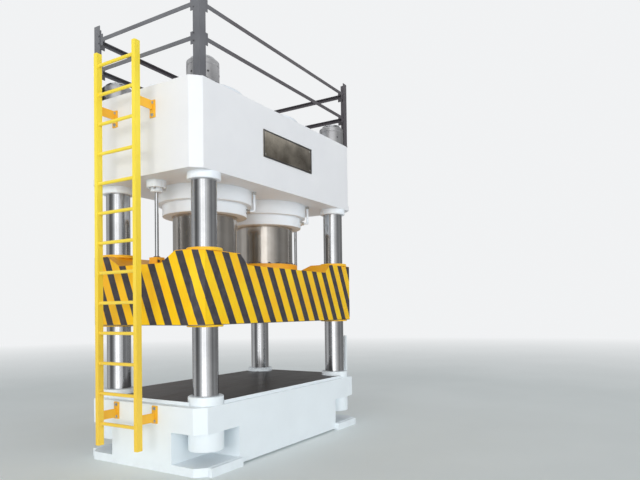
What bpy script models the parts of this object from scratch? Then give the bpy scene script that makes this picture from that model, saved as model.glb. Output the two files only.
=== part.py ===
"""Four-column hydraulic press, built as separate solids in metres, +Z up.

The origin is on the floor under the middle of the bed. X runs along the front, and -Y is the front.
The slide and all that hangs on it stand where the press was left, in the middle of its stroke.
"""
import math

import bmesh
import bpy

# Gaps and cuts
SEAT_GAP = 0.0003
RUNNING_GAP = 0.0005
CUT_OVERRUN = 0.03
MERGE_GAP = 0.00005

# Facets round each family of turned pieces
COLUMN_SIDES = 20
MAIN_SIDES = 32
RETURN_SIDES = 12
RUNG_SIDES = 8

# Heights of the frame, from the floor up
BED_HEIGHT = 0.640
DAYLIGHT_HEIGHT = 0.765
SLIDE_HEIGHT = 0.603
HOUSING_HEIGHT = 0.112
HEADROOM_HEIGHT = 0.764
CROWN_HEIGHT = 0.876

# Travel of the slide from where it stands
TRAVEL_DOWN_LENGTH = 0.52
TRAVEL_UP_LENGTH = 0.40

# Main cylinders and their rams
RAM_RADIUS = 0.358
RAM_END_GAP = 0.020
RAM_CHAMFER = 0.015
RAM_RING_WIDTH = 0.059
RAM_RING_HEIGHT = 0.114
RAM_RING_CHAMFER = 0.008
RAM_RING_GAP = 0.008
BORE_GAP = 0.014
BARREL_WALL_THICKNESS = 0.078
BARREL_HEAD_THICKNESS = 0.105
BARREL_STAND_HEIGHT = 0.225
BARREL_CHAMFER = 0.012
SHOULDER_WIDTH = 0.079
SHOULDER_HEIGHT = 0.163
GLAND_WIDTH = 0.112
GLAND_HEIGHT = 0.126
GLAND_GAP = 0.003
GLAND_CHAMFER = 0.006
PACKING_WIDTH = 0.044
PACKING_HEIGHT = 0.075
GUIDE_BUSH_HEIGHT = 0.130
RING_NUT_WIDTH = 0.080
RING_NUT_HEIGHT = 0.100
RING_NUT_GAP = 0.060
FILL_PORT_RADIUS = 0.110
FILL_VALVE_RADIUS = 0.165
FILL_VALVE_HEIGHT = 0.115
FILL_VALVE_NECK_RADIUS = 0.125
FILL_VALVE_FLANGE_HEIGHT = 0.035

# Return cylinders
RETURN_ROD_RADIUS = 0.020
RETURN_BORE_RADIUS = 0.050
RETURN_WALL_THICKNESS = 0.020
RETURN_FLANGE_RADIUS = 0.100
RETURN_FLANGE_HEIGHT = 0.076
RETURN_GLAND_RADIUS = 0.060
RETURN_GLAND_HEIGHT = 0.042
RETURN_GLAND_BORE_LENGTH = 0.070
RETURN_STAND_HEIGHT = 0.105
RETURN_CAP_THICKNESS = 0.025
RETURN_SIDE_GAP = 0.090
RETURN_EDGE_WIDTH = 0.130
PISTON_LENGTH = 0.060
PISTON_END_GAP = 0.010
ANCHOR_WIDTH = 0.110
ANCHOR_HEIGHT = 0.088
ANCHOR_BEVEL_WIDTH = 0.008

# Columns
COLUMN_RADIUS = 0.125
COLUMN_EDGE_WIDTH_X = 0.135
COLUMN_EDGE_WIDTH_Y = 0.025
COLUMN_NUT_GAP_Y = 0.095
COLUMN_END_CHAMFER = 0.012
COLUMN_TOP_LENGTH = 0.035
COLUMN_FOOT_GAP = 0.012

# Nuts and collars on the columns
COLLAR_WIDTH = 0.047
CROWN_COLLAR_WIDTH = 0.039
TOP_NUT_WIDTH = 0.035
COLLAR_HEIGHT = 0.084
CROWN_COLLAR_HEIGHT = 0.072
LOWER_NUT_HEIGHT = 0.185
TOP_NUT_HEIGHT = 0.215
NUT_CHAMFER = 0.010

# Plan that the bed, the slide and the crown share
PLAN_CHAMFER = 0.095
BED_EXTRA_WIDTH_Y = 0.025
SLIDE_EXTRA_WIDTH_Y = 0.005
EDGE_BEVEL_WIDTH = 0.006

# Bed
BED_FLANGE_THICKNESS = 0.250
POCKET_WIDTH_X = 0.118
POCKET_WIDTH_Y = 0.033
TOE_THICKNESS = 0.085
TOE_LENGTH = 0.045
FLOOR_GAP = 0.022
FLOOR_GAP_DEPTH = 0.120

# Table plate
TABLE_MARGIN_WIDTH_X = 0.090
TABLE_MARGIN_WIDTH_Y = 0.025
TABLE_THICKNESS = 0.034
TABLE_NOTCH_GAP = 0.006

# Crown
CROWN_BAND_HEIGHT = 0.060
CROWN_BAND_DEPTH = 0.008

# Slide
HOUSING_LENGTH_X = 0.475
HOUSING_LENGTH_Y = 0.325
SHOULDER_RUN_X = 0.125
SHOULDER_RUN_Y = 0.190

# Guide bushes in the slide
BUSH_WALL_THICKNESS = 0.025
BUSH_FLANGE_WIDTH = 0.026
BUSH_LENGTH = 0.240
UPPER_FLANGE_HEIGHT = 0.030
LOWER_FLANGE_HEIGHT = 0.018

# Nameplate, left bare
NAMEPLATE_WIDTH = 0.965
NAMEPLATE_HEIGHT = 0.300
NAMEPLATE_THICKNESS = 0.010
NAMEPLATE_RISE_HEIGHT = 0.466

# Ladder on the left side
STILE_DEPTH = 0.062
STILE_WIDTH = 0.045
LADDER_WIDTH = 0.550
LADDER_OFFSET_Y = 0.065
LADDER_GAP = 0.210
LADDER_BOTTOM_HEIGHT = 0.235
LADDER_TOP_HEIGHT = 0.358
RUNG_RADIUS = 0.017
RUNG_PITCH_HEIGHT = 0.2955
FIRST_RUNG_HEIGHT = 0.449
BRACKET_THICKNESS = 0.012
BRACKET_ARM_HEIGHT = 0.088
BRACKET_PLATE_HEIGHT = 0.170
BRACKET_PLATE_WIDTH = 0.070
UPPER_PLATE_DEPTH = 0.240
UPPER_ARM_DEPTH = 0.205
LOWER_PLATE_DEPTH = 0.095
LOWER_ARM_DEPTH = 0.121

# Guard rail of angle steel round the crown top
GUARD_MARGIN_WIDTH_X = 0.070
GUARD_MARGIN_WIDTH_Y = 0.013
GUARD_HEIGHT = 0.860
POST_LEG_WIDTH = 0.085
POST_THICKNESS = 0.008
RAIL_LEG_WIDTH = 0.042
RAIL_THICKNESS = 0.006
RAIL_END_GAP = 0.056
RAIL_START_GAP = 0.0085
TOP_RAIL_DEPTH = 0.155
MIDDLE_RAIL_HEIGHT = 0.380
TAB_LENGTH = 0.125
TAB_HEIGHT = 0.120
WELD_START_LENGTH = 0.060
WELD_LENGTH = 0.020
FOOT_PLATE_THICKNESS = 0.012
FOOT_PLATE_WIDTH_X = 0.175
FOOT_PLATE_WIDTH_Y = 0.150
FOOT_PLATE_LIP_WIDTH = 0.004
FOOT_PLATE_NUT_GAP = 0.004

# Limit post on the right end of the bed
LIMIT_POST_WIDTH = 0.042
LIMIT_POST_HEIGHT = 0.540
LIMIT_POST_DEPTH = 0.260
LIMIT_POST_GAP = 0.012
LIMIT_POST_MARGIN_WIDTH_Y = 0.174
LIMIT_PAD_HEIGHT = 0.160
LIMIT_PAD_DEPTH = 0.120

# Radii worked out from the wall up
BARREL_BORE_RADIUS = RAM_RADIUS + BORE_GAP
BARREL_RADIUS = BARREL_BORE_RADIUS + BARREL_WALL_THICKNESS
SHOULDER_RADIUS = BARREL_RADIUS + SHOULDER_WIDTH
RING_NUT_RADIUS = BARREL_RADIUS + RING_NUT_WIDTH
GLAND_RADIUS = RAM_RADIUS + GLAND_WIDTH
PACKING_RADIUS = RAM_RADIUS + PACKING_WIDTH
RAM_RING_RADIUS = RAM_RADIUS + RAM_RING_WIDTH
RETURN_BARREL_RADIUS = RETURN_BORE_RADIUS + RETURN_WALL_THICKNESS
COLLAR_RADIUS = COLUMN_RADIUS + COLLAR_WIDTH
CROWN_COLLAR_RADIUS = COLUMN_RADIUS + CROWN_COLLAR_WIDTH
TOP_NUT_RADIUS = COLUMN_RADIUS + TOP_NUT_WIDTH
BUSH_RADIUS = COLUMN_RADIUS + BUSH_WALL_THICKNESS
BUSH_FLANGE_RADIUS = BUSH_RADIUS + BUSH_FLANGE_WIDTH

# Plan worked out from the cylinders outwards
MAIN_OFFSET_X = RING_NUT_RADIUS + RING_NUT_GAP / 2
RETURN_OFFSET_X = MAIN_OFFSET_X + RING_NUT_RADIUS + RETURN_SIDE_GAP + RETURN_FLANGE_RADIUS
PLAN_HALF_X = RETURN_OFFSET_X + RETURN_FLANGE_RADIUS + RETURN_EDGE_WIDTH
HALF_SPACING_X = PLAN_HALF_X - COLUMN_EDGE_WIDTH_X - COLUMN_RADIUS
HALF_SPACING_Y = RING_NUT_RADIUS + COLUMN_NUT_GAP_Y
CROWN_HALF_Y = HALF_SPACING_Y + COLUMN_RADIUS + COLUMN_EDGE_WIDTH_Y
SLIDE_HALF_Y = CROWN_HALF_Y + SLIDE_EXTRA_WIDTH_Y
BED_HALF_Y = CROWN_HALF_Y + BED_EXTRA_WIDTH_Y
TABLE_HALF_X = PLAN_HALF_X - TABLE_MARGIN_WIDTH_X
TABLE_HALF_Y = BED_HALF_Y - TABLE_MARGIN_WIDTH_Y
POCKET_INNER_X = HALF_SPACING_X - COLLAR_RADIUS - POCKET_WIDTH_X
POCKET_INNER_Y = HALF_SPACING_Y - COLLAR_RADIUS - POCKET_WIDTH_Y
HOUSING_FOOT_X = HALF_SPACING_X - HOUSING_LENGTH_X
HOUSING_FOOT_Y = HALF_SPACING_Y - HOUSING_LENGTH_Y
GUARD_X = PLAN_HALF_X - GUARD_MARGIN_WIDTH_X
GUARD_Y = CROWN_HALF_Y - GUARD_MARGIN_WIDTH_Y
LADDER_X = PLAN_HALF_X + LADDER_GAP
LIMIT_POST_Y = LIMIT_POST_MARGIN_WIDTH_Y - BED_HALF_Y

# Heights worked out from the floor up
BED_TOP = BED_HEIGHT
POCKET_LEDGE = BED_TOP - BED_FLANGE_THICKNESS
SLIDE_BOTTOM = BED_TOP + DAYLIGHT_HEIGHT
SLIDE_TOP = SLIDE_BOTTOM + SLIDE_HEIGHT
HOUSING_TOP = SLIDE_TOP + HOUSING_HEIGHT
CROWN_BOTTOM = HOUSING_TOP + HEADROOM_HEIGHT
CROWN_TOP = CROWN_BOTTOM + CROWN_HEIGHT
COLUMN_TOP = CROWN_TOP + TOP_NUT_HEIGHT + COLUMN_TOP_LENGTH
COLUMN_FOOT = POCKET_LEDGE - LOWER_NUT_HEIGHT + COLUMN_FOOT_GAP
SHOULDER_BOTTOM = CROWN_BOTTOM - SHOULDER_HEIGHT
PACKING_TOP = SHOULDER_BOTTOM + PACKING_HEIGHT
GUIDE_BUSH_TOP = PACKING_TOP + GUIDE_BUSH_HEIGHT
BARREL_TOP = CROWN_TOP + BARREL_STAND_HEIGHT
BARREL_BORE_TOP = BARREL_TOP - BARREL_HEAD_THICKNESS
RAM_TOP = BARREL_BORE_TOP - RAM_END_GAP - TRAVEL_UP_LENGTH
RETURN_TOP = CROWN_TOP + RETURN_STAND_HEIGHT
RETURN_FLANGE_BOTTOM = CROWN_BOTTOM - RETURN_FLANGE_HEIGHT
RETURN_BOTTOM = RETURN_FLANGE_BOTTOM - RETURN_GLAND_HEIGHT
PISTON_TOP = RETURN_TOP - RETURN_CAP_THICKNESS - PISTON_END_GAP - TRAVEL_UP_LENGTH
NAMEPLATE_MIDDLE = CROWN_BOTTOM + NAMEPLATE_RISE_HEIGHT
LADDER_TOP = CROWN_TOP + LADDER_TOP_HEIGHT
RUNG_COUNT = 1 + int((LADDER_TOP - FIRST_RUNG_HEIGHT) / RUNG_PITCH_HEIGHT)
UPPER_PLATE_MIDDLE = CROWN_TOP - UPPER_PLATE_DEPTH
UPPER_ARM_MIDDLE = CROWN_TOP - UPPER_ARM_DEPTH
LOWER_PLATE_MIDDLE = BED_TOP - LOWER_PLATE_DEPTH
LOWER_ARM_MIDDLE = BED_TOP - LOWER_ARM_DEPTH
POST_TOP = CROWN_TOP + GUARD_HEIGHT
TOP_RAIL = POST_TOP - TOP_RAIL_DEPTH
MIDDLE_RAIL = CROWN_TOP + MIDDLE_RAIL_HEIGHT
LIMIT_POST_TOP = BED_TOP + LIMIT_POST_HEIGHT
LIMIT_POST_BOTTOM = BED_TOP - LIMIT_POST_DEPTH
LIMIT_PAD_MIDDLE = BED_TOP - LIMIT_PAD_DEPTH

CORNERS = {
    "front_left": (-1, -1),
    "front_right": (1, -1),
    "back_right": (1, 1),
    "back_left": (-1, 1),
}
SIDES = {"left": -1, "right": 1}

# Finishes, each a colour with its roughness and how metallic it is
WHITE = ((0.78, 0.79, 0.80), 0.35, 0)
CHROME = ((0.75, 0.76, 0.77), 0.12, 1)
YELLOW = ((0.95, 0.55, 0.02), 0.40, 0)
LADDER_YELLOW = ((0.93, 0.70, 0.06), 0.40, 0)
RAIL_GREY = ((0.15, 0.15, 0.17), 0.50, 0)
TABLE_STEEL = ((0.10, 0.09, 0.09), 0.25, 1)
PLATE_BRONZE = ((0.15, 0.12, 0.09), 0.35, 1)
BRONZE = ((0.55, 0.33, 0.12), 0.40, 1)
RUBBER = ((0.02, 0.02, 0.02), 0.60, 0)
STEEL = ((0.45, 0.46, 0.48), 0.30, 1)
SMOOTH_LIMIT_ANGLE = math.radians(35)
HALF_STEP_SHARE = 0.5


def clear_scene():
    """Removes every object of the start-up scene."""
    for thing in list(bpy.data.objects):
        bpy.data.objects.remove(thing, do_unlink=True)


def finish_material(name, finish):
    """Makes one plain material."""
    colour, roughness, metallic = finish
    material = bpy.data.materials.new(name)
    material.use_nodes = True
    shader = material.node_tree.nodes["Principled BSDF"]
    shader.inputs["Base Color"].default_value = (*colour, 1.0)
    shader.inputs["Roughness"].default_value = roughness
    shader.inputs["Metallic"].default_value = metallic
    return material


def add_object(name, shape, finish, smooth=False):
    """Turns a bmesh into a named object with a material of its own."""
    bmesh.ops.recalc_face_normals(shape, faces=shape.faces)
    mesh = bpy.data.meshes.new(name)
    shape.to_mesh(mesh)
    shape.free()
    if smooth:
        mesh.shade_smooth()
        mesh.set_sharp_from_angle(angle=SMOOTH_LIMIT_ANGLE)
    mesh.materials.append(finish_material(name, finish))
    thing = bpy.data.objects.new(name, mesh)
    bpy.context.scene.collection.objects.link(thing)
    return thing


def combine(target, name, shape, operation):
    """Adds an exact Boolean to the target, with a hidden tool made from a bmesh."""
    tool = add_object(name, shape, RUBBER)
    tool.hide_render = True
    tool.display_type = "WIRE"
    modifier = target.modifiers.new(name, "BOOLEAN")
    modifier.operation = operation
    modifier.object = tool
    modifier.solver = "EXACT"


def soften(target, width):
    """Bevels the sharp edges of a piece by a small width."""
    modifier = target.modifiers.new("Bevel", "BEVEL")
    modifier.width = width
    modifier.segments = 2
    modifier.limit_method = "ANGLE"
    modifier.angle_limit = math.radians(30)


def signed_range(near, far, side):
    """Two distances from the middle as a rising pair, on the side that is asked for."""
    return (near, far) if side > 0 else (-far, -near)


def around(middle, size):
    """The range of a size about its middle."""
    return (middle - size / 2, middle + size / 2)


def add_block(shape, x_range, y_range, z_range):
    """Adds one closed block to a bmesh, from three ranges."""
    ranges = (x_range, y_range, z_range)
    corners = bmesh.ops.create_cube(shape, size=1)["verts"]
    bmesh.ops.scale(shape, vec=[high - low for low, high in ranges], verts=corners)
    bmesh.ops.translate(shape, vec=[(low + high) / 2 for low, high in ranges], verts=corners)


def block(x_range, y_range, z_range):
    """A bmesh with one block."""
    shape = bmesh.new()
    add_block(shape, x_range, y_range, z_range)
    return shape


def add_span(shape, first, second):
    """Adds a closed solid between two matching outlines of points in space."""
    start = [shape.verts.new(point) for point in first]
    end = [shape.verts.new(point) for point in second]
    shape.faces.new(reversed(start))
    shape.faces.new(end)
    for i, corner in enumerate(start):
        after = (i + 1) % len(start)
        shape.faces.new((corner, start[after], end[after], end[i]))


def loft(lower, low, upper, high):
    """A bmesh with one solid between two plans at two heights."""
    shape = bmesh.new()
    add_span(shape, [(x, y, low) for x, y in lower], [(x, y, high) for x, y in upper])
    return shape


def chamfered_outline(half_x, half_y, chamfer):
    """The plan of the bed, slide and crown: a rectangle with its corners cut off."""
    return [
        (half_x, -half_y + chamfer),
        (half_x, half_y - chamfer),
        (half_x - chamfer, half_y),
        (-half_x + chamfer, half_y),
        (-half_x, half_y - chamfer),
        (-half_x, -half_y + chamfer),
        (-half_x + chamfer, -half_y),
        (half_x - chamfer, -half_y),
    ]


def cross_outline(inner_x, inner_y, outer_x, outer_y):
    """A plus-shaped plan whose arms are 2*inner_x and 2*inner_y wide."""
    return [
        (inner_x, -outer_y),
        (inner_x, -inner_y),
        (outer_x, -inner_y),
        (outer_x, inner_y),
        (inner_x, inner_y),
        (inner_x, outer_y),
        (-inner_x, outer_y),
        (-inner_x, inner_y),
        (-outer_x, inner_y),
        (-outer_x, -inner_y),
        (-inner_x, -inner_y),
        (-inner_x, -outer_y),
    ]


def angle_outline(leg, thickness):
    """An angle section, from its outer corner inwards."""
    return [(0, 0), (leg, 0), (leg, thickness), (thickness, thickness), (thickness, leg), (0, leg)]


def turned(profile, sides, centre_x, centre_y):
    """A bmesh with an outline of (radius, height) points spun round a vertical axis.

    A profile that starts and ends on the axis gives a solid piece, any other a ring.
    """
    shape = bmesh.new()
    points = [shape.verts.new((radius, 0, height)) for radius, height in profile]
    edges = [shape.edges.new(pair) for pair in zip(points, points[1:])]
    if profile[0][0] > 0:
        edges.append(shape.edges.new((points[-1], points[0])))
    bmesh.ops.spin(
        shape,
        geom=points + edges,
        cent=(0, 0, 0),
        axis=(0, 0, 1),
        angle=math.tau,
        steps=sides,
        use_merge=True,
    )
    bmesh.ops.remove_doubles(shape, verts=shape.verts, dist=MERGE_GAP)
    bmesh.ops.translate(shape, vec=(centre_x, centre_y, 0), verts=shape.verts)
    return shape


def ring_profile(bore, radius, low, high, chamfer, chamfer_below):
    """The outline of a ring with a plain bore and one chamfered outer edge."""
    if chamfer_below:
        return [(bore, low), (radius - chamfer, low), (radius, low + chamfer), (radius, high), (bore, high)]
    return [(bore, low), (radius, low), (radius, high - chamfer), (radius - chamfer, high), (bore, high)]


def plug(radius, low, high, sides, centre_x, centre_y):
    """A bmesh with one plain upright cylinder."""
    profile = [(0, low), (radius, low), (radius, high), (0, high)]
    return turned(profile, sides, centre_x, centre_y)


def gathered(shapes):
    """Joins several separate bmeshes into one."""
    whole = bmesh.new()
    for shape in shapes:
        mesh = bpy.data.meshes.new("gathered")
        shape.to_mesh(mesh)
        shape.free()
        whole.from_mesh(mesh)
        bpy.data.meshes.remove(mesh)
    return whole


def column_places():
    """Yields each corner's name and the centre of its column."""
    for corner, (side_x, side_y) in CORNERS.items():
        yield corner, side_x * HALF_SPACING_X, side_y * HALF_SPACING_Y


def column_plugs(radius, low, high):
    """Four plain cylinders on the column centres, for cutting holes."""
    return gathered(plug(radius, low, high, COLUMN_SIDES, x, y) for _, x, y in column_places())


def offset_plugs(offset_x, radius, low, high, sides):
    """Two plain cylinders on the long middle line, for cutting holes."""
    return gathered(plug(radius, low, high, sides, side * offset_x, 0) for side in SIDES.values())


def make_bed():
    """The welded bed: a chamfered box with corner pockets, toes and a gap to the floor."""
    outline = chamfered_outline(PLAN_HALF_X, BED_HALF_Y, PLAN_CHAMFER)
    bed = add_object("bed", loft(outline, 0, outline, BED_TOP), WHITE)
    soften(bed, EDGE_BEVEL_WIDTH)
    far_x = PLAN_HALF_X + CUT_OVERRUN
    far_y = BED_HALF_Y + CUT_OVERRUN
    pockets = bmesh.new()
    toes = bmesh.new()
    for side_x, side_y in CORNERS.values():
        pocket_x = signed_range(POCKET_INNER_X, far_x, side_x)
        pocket_y = signed_range(POCKET_INNER_Y, far_y, side_y)
        add_block(pockets, pocket_x, pocket_y, (TOE_THICKNESS, POCKET_LEDGE))
        toe_x = signed_range(POCKET_INNER_X, PLAN_HALF_X - PLAN_CHAMFER, side_x)
        toe_y = signed_range(POCKET_INNER_Y, BED_HALF_Y + TOE_LENGTH, side_y)
        add_block(toes, toe_x, toe_y, (0, TOE_THICKNESS))
    floor_gaps = bmesh.new()
    for side in SIDES.values():
        gap_y = signed_range(BED_HALF_Y - FLOOR_GAP_DEPTH, far_y, side)
        add_block(floor_gaps, (-POCKET_INNER_X, POCKET_INNER_X), gap_y, (-CUT_OVERRUN, FLOOR_GAP))
    holes = column_plugs(COLUMN_RADIUS + SEAT_GAP, POCKET_LEDGE - CUT_OVERRUN, BED_TOP + CUT_OVERRUN)
    combine(bed, "bed_pockets", pockets, "DIFFERENCE")
    combine(bed, "bed_floor_gaps", floor_gaps, "DIFFERENCE")
    combine(bed, "bed_toes", toes, "UNION")
    combine(bed, "bed_holes", holes, "DIFFERENCE")


def make_table():
    """The dark steel table plate, notched round the four collars."""
    low = BED_TOP + SEAT_GAP
    high = BED_TOP + TABLE_THICKNESS
    plate = block((-TABLE_HALF_X, TABLE_HALF_X), (-TABLE_HALF_Y, TABLE_HALF_Y), (low, high))
    table = add_object("table_plate", plate, TABLE_STEEL)
    cut_range = (low - CUT_OVERRUN, high + CUT_OVERRUN)
    corners = bmesh.new()
    for side_x, side_y in CORNERS.values():
        x_range = signed_range(HALF_SPACING_X, TABLE_HALF_X + CUT_OVERRUN, side_x)
        y_range = signed_range(HALF_SPACING_Y, TABLE_HALF_Y + CUT_OVERRUN, side_y)
        add_block(corners, x_range, y_range, cut_range)
    notches = column_plugs(COLLAR_RADIUS + TABLE_NOTCH_GAP, *cut_range)
    combine(table, "table_corners", corners, "DIFFERENCE")
    combine(table, "table_notches", notches, "DIFFERENCE")


def make_crown():
    """The crown that carries the cylinders, with the proud edge of its bottom plate."""
    outline = chamfered_outline(PLAN_HALF_X, CROWN_HALF_Y, PLAN_CHAMFER)
    crown = add_object("crown", loft(outline, CROWN_BOTTOM, outline, CROWN_TOP), WHITE)
    soften(crown, EDGE_BEVEL_WIDTH)
    edge = chamfered_outline(PLAN_HALF_X + CROWN_BAND_DEPTH, CROWN_HALF_Y + CROWN_BAND_DEPTH, PLAN_CHAMFER)
    band = loft(edge, CROWN_BOTTOM, edge, CROWN_BOTTOM + CROWN_BAND_HEIGHT)
    low = CROWN_BOTTOM - CUT_OVERRUN
    high = CROWN_TOP + CUT_OVERRUN
    holes = gathered(
        (
            column_plugs(COLUMN_RADIUS + SEAT_GAP, low, high),
            offset_plugs(MAIN_OFFSET_X, BARREL_RADIUS + SEAT_GAP, low, high, MAIN_SIDES),
            offset_plugs(RETURN_OFFSET_X, RETURN_BARREL_RADIUS + SEAT_GAP, low, high, RETURN_SIDES),
        )
    )
    combine(crown, "crown_band", band, "UNION")
    combine(crown, "crown_holes", holes, "DIFFERENCE")


def make_slide():
    """The moving slide, with a guide housing at each corner and a low deck between them."""
    outline = chamfered_outline(PLAN_HALF_X, SLIDE_HALF_Y, PLAN_CHAMFER)
    slide = add_object("slide", loft(outline, SLIDE_BOTTOM, outline, HOUSING_TOP), WHITE)
    soften(slide, EDGE_BEVEL_WIDTH)
    high = HOUSING_TOP + CUT_OVERRUN
    share = (high - SLIDE_TOP) / (HOUSING_TOP - SLIDE_TOP)
    upper_x = HOUSING_FOOT_X + SHOULDER_RUN_X * share
    upper_y = HOUSING_FOOT_Y + SHOULDER_RUN_Y * share
    far_x = PLAN_HALF_X + CUT_OVERRUN
    far_y = SLIDE_HALF_Y + CUT_OVERRUN
    lower = cross_outline(HOUSING_FOOT_X, HOUSING_FOOT_Y, far_x, far_y)
    upper = cross_outline(upper_x, upper_y, far_x, far_y)
    clearance = RAM_RING_RADIUS + RAM_RING_GAP
    rings = offset_plugs(MAIN_OFFSET_X, clearance, SLIDE_TOP, high, MAIN_SIDES)
    bores = column_plugs(BUSH_RADIUS + SEAT_GAP, SLIDE_BOTTOM - CUT_OVERRUN, high)
    combine(slide, "slide_deck", loft(lower, SLIDE_TOP, upper, high), "DIFFERENCE")
    combine(slide, "slide_ring_clearance", rings, "DIFFERENCE")
    combine(slide, "slide_bores", bores, "DIFFERENCE")


def make_columns():
    """The four ground columns with the nuts and collars that clamp bed and crown to them."""
    bar = [
        (0, COLUMN_FOOT),
        (COLUMN_RADIUS, COLUMN_FOOT),
        (COLUMN_RADIUS, COLUMN_TOP - COLUMN_END_CHAMFER),
        (COLUMN_RADIUS - COLUMN_END_CHAMFER, COLUMN_TOP),
        (0, COLUMN_TOP),
    ]
    nut_low = POCKET_LEDGE - LOWER_NUT_HEIGHT
    collar_low = CROWN_BOTTOM - CROWN_COLLAR_HEIGHT
    rings = {
        "lower_nut": (COLLAR_RADIUS, nut_low, POCKET_LEDGE - SEAT_GAP, True, WHITE),
        "bed_collar": (COLLAR_RADIUS, BED_TOP + SEAT_GAP, BED_TOP + COLLAR_HEIGHT, False, WHITE),
        "crown_collar": (CROWN_COLLAR_RADIUS, collar_low, CROWN_BOTTOM - SEAT_GAP, True, WHITE),
        "top_nut": (TOP_NUT_RADIUS, CROWN_TOP + SEAT_GAP, CROWN_TOP + TOP_NUT_HEIGHT, False, STEEL),
    }
    for corner, x, y in column_places():
        add_object(f"column_{corner}", turned(bar, COLUMN_SIDES, x, y), CHROME, True)
        for kind, (radius, low, high, chamfer_below, finish) in rings.items():
            profile = ring_profile(COLUMN_RADIUS + SEAT_GAP, radius, low, high, NUT_CHAMFER, chamfer_below)
            add_object(f"{kind}_{corner}", turned(profile, COLUMN_SIDES, x, y), finish, True)


def make_slide_bushes():
    """The flanged bushes, above and below, that guide the slide on each column."""
    bore = COLUMN_RADIUS + RUNNING_GAP
    upper = [
        (bore, HOUSING_TOP - BUSH_LENGTH),
        (BUSH_RADIUS, HOUSING_TOP - BUSH_LENGTH),
        (BUSH_RADIUS, HOUSING_TOP + SEAT_GAP),
        (BUSH_FLANGE_RADIUS, HOUSING_TOP + SEAT_GAP),
        (BUSH_FLANGE_RADIUS, HOUSING_TOP + UPPER_FLANGE_HEIGHT),
        (bore, HOUSING_TOP + UPPER_FLANGE_HEIGHT),
    ]
    lower = [
        (bore, SLIDE_BOTTOM - LOWER_FLANGE_HEIGHT),
        (BUSH_FLANGE_RADIUS, SLIDE_BOTTOM - LOWER_FLANGE_HEIGHT),
        (BUSH_FLANGE_RADIUS, SLIDE_BOTTOM - SEAT_GAP),
        (BUSH_RADIUS, SLIDE_BOTTOM - SEAT_GAP),
        (BUSH_RADIUS, SLIDE_BOTTOM + BUSH_LENGTH),
        (bore, SLIDE_BOTTOM + BUSH_LENGTH),
    ]
    for corner, x, y in column_places():
        for kind, profile in (("upper_bush", upper), ("lower_bush", lower)):
            add_object(f"{kind}_{corner}", turned(profile, COLUMN_SIDES, x, y), YELLOW, True)


def make_main_cylinder(side, x):
    """One main cylinder hung in the crown: barrel, gland, packing, bush, ring nut and fill valve."""
    seat = CROWN_BOTTOM - SEAT_GAP
    counterbore = PACKING_RADIUS + SEAT_GAP
    barrel = [
        (counterbore, SHOULDER_BOTTOM),
        (SHOULDER_RADIUS - BARREL_CHAMFER, SHOULDER_BOTTOM),
        (SHOULDER_RADIUS, SHOULDER_BOTTOM + BARREL_CHAMFER),
        (SHOULDER_RADIUS, seat),
        (BARREL_RADIUS, seat),
        (BARREL_RADIUS, BARREL_TOP),
        (FILL_PORT_RADIUS, BARREL_TOP),
        (FILL_PORT_RADIUS, BARREL_BORE_TOP),
        (BARREL_BORE_RADIUS, BARREL_BORE_TOP),
        (BARREL_BORE_RADIUS, GUIDE_BUSH_TOP + SEAT_GAP),
        (counterbore, GUIDE_BUSH_TOP + SEAT_GAP),
    ]
    gland_bore = RAM_RADIUS + GLAND_GAP
    gland_top = SHOULDER_BOTTOM - SEAT_GAP
    gland = ring_profile(gland_bore, GLAND_RADIUS, gland_top - GLAND_HEIGHT, gland_top, GLAND_CHAMFER, True)
    nut_bore = BARREL_RADIUS + SEAT_GAP
    nut_low = CROWN_TOP + SEAT_GAP
    nut = ring_profile(nut_bore, RING_NUT_RADIUS, nut_low, nut_low + RING_NUT_HEIGHT, BARREL_CHAMFER, False)
    valve_low = BARREL_TOP + SEAT_GAP
    valve = [
        (0, valve_low),
        (FILL_VALVE_RADIUS, valve_low),
        (FILL_VALVE_RADIUS, valve_low + FILL_VALVE_FLANGE_HEIGHT),
        (FILL_VALVE_NECK_RADIUS, valve_low + FILL_VALVE_FLANGE_HEIGHT),
        (FILL_VALVE_NECK_RADIUS, valve_low + FILL_VALVE_HEIGHT),
        (0, valve_low + FILL_VALVE_HEIGHT),
    ]
    bore = RAM_RADIUS + RUNNING_GAP
    plain_rings = {
        "packing": (SHOULDER_BOTTOM, PACKING_TOP, RUBBER),
        "guide_bush": (PACKING_TOP + SEAT_GAP, GUIDE_BUSH_TOP, BRONZE),
    }
    for kind, (low, high, finish) in plain_rings.items():
        profile = [(bore, low), (PACKING_RADIUS, low), (PACKING_RADIUS, high), (bore, high)]
        add_object(f"{kind}_{side}", turned(profile, MAIN_SIDES, x, 0), finish, True)
    add_object(f"main_barrel_{side}", turned(barrel, MAIN_SIDES, x, 0), WHITE, True)
    add_object(f"gland_ring_{side}", turned(gland, MAIN_SIDES, x, 0), WHITE, True)
    add_object(f"ring_nut_{side}", turned(nut, MAIN_SIDES, x, 0), STEEL, True)
    add_object(f"fill_valve_{side}", turned(valve, COLUMN_SIDES, x, 0), STEEL, True)


def make_ram(side, x):
    """One plunger ram on the slide, with the ring that bolts it down."""
    low = SLIDE_TOP + SEAT_GAP
    ram = [
        (0, low),
        (RAM_RADIUS, low),
        (RAM_RADIUS, RAM_TOP - RAM_CHAMFER),
        (RAM_RADIUS - RAM_CHAMFER, RAM_TOP),
        (0, RAM_TOP),
    ]
    bore = RAM_RADIUS + SEAT_GAP
    ring = ring_profile(bore, RAM_RING_RADIUS, low, SLIDE_TOP + RAM_RING_HEIGHT, RAM_RING_CHAMFER, False)
    add_object(f"ram_{side}", turned(ram, MAIN_SIDES, x, 0), CHROME, True)
    add_object(f"ram_ring_{side}", turned(ring, MAIN_SIDES, x, 0), YELLOW, True)


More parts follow.
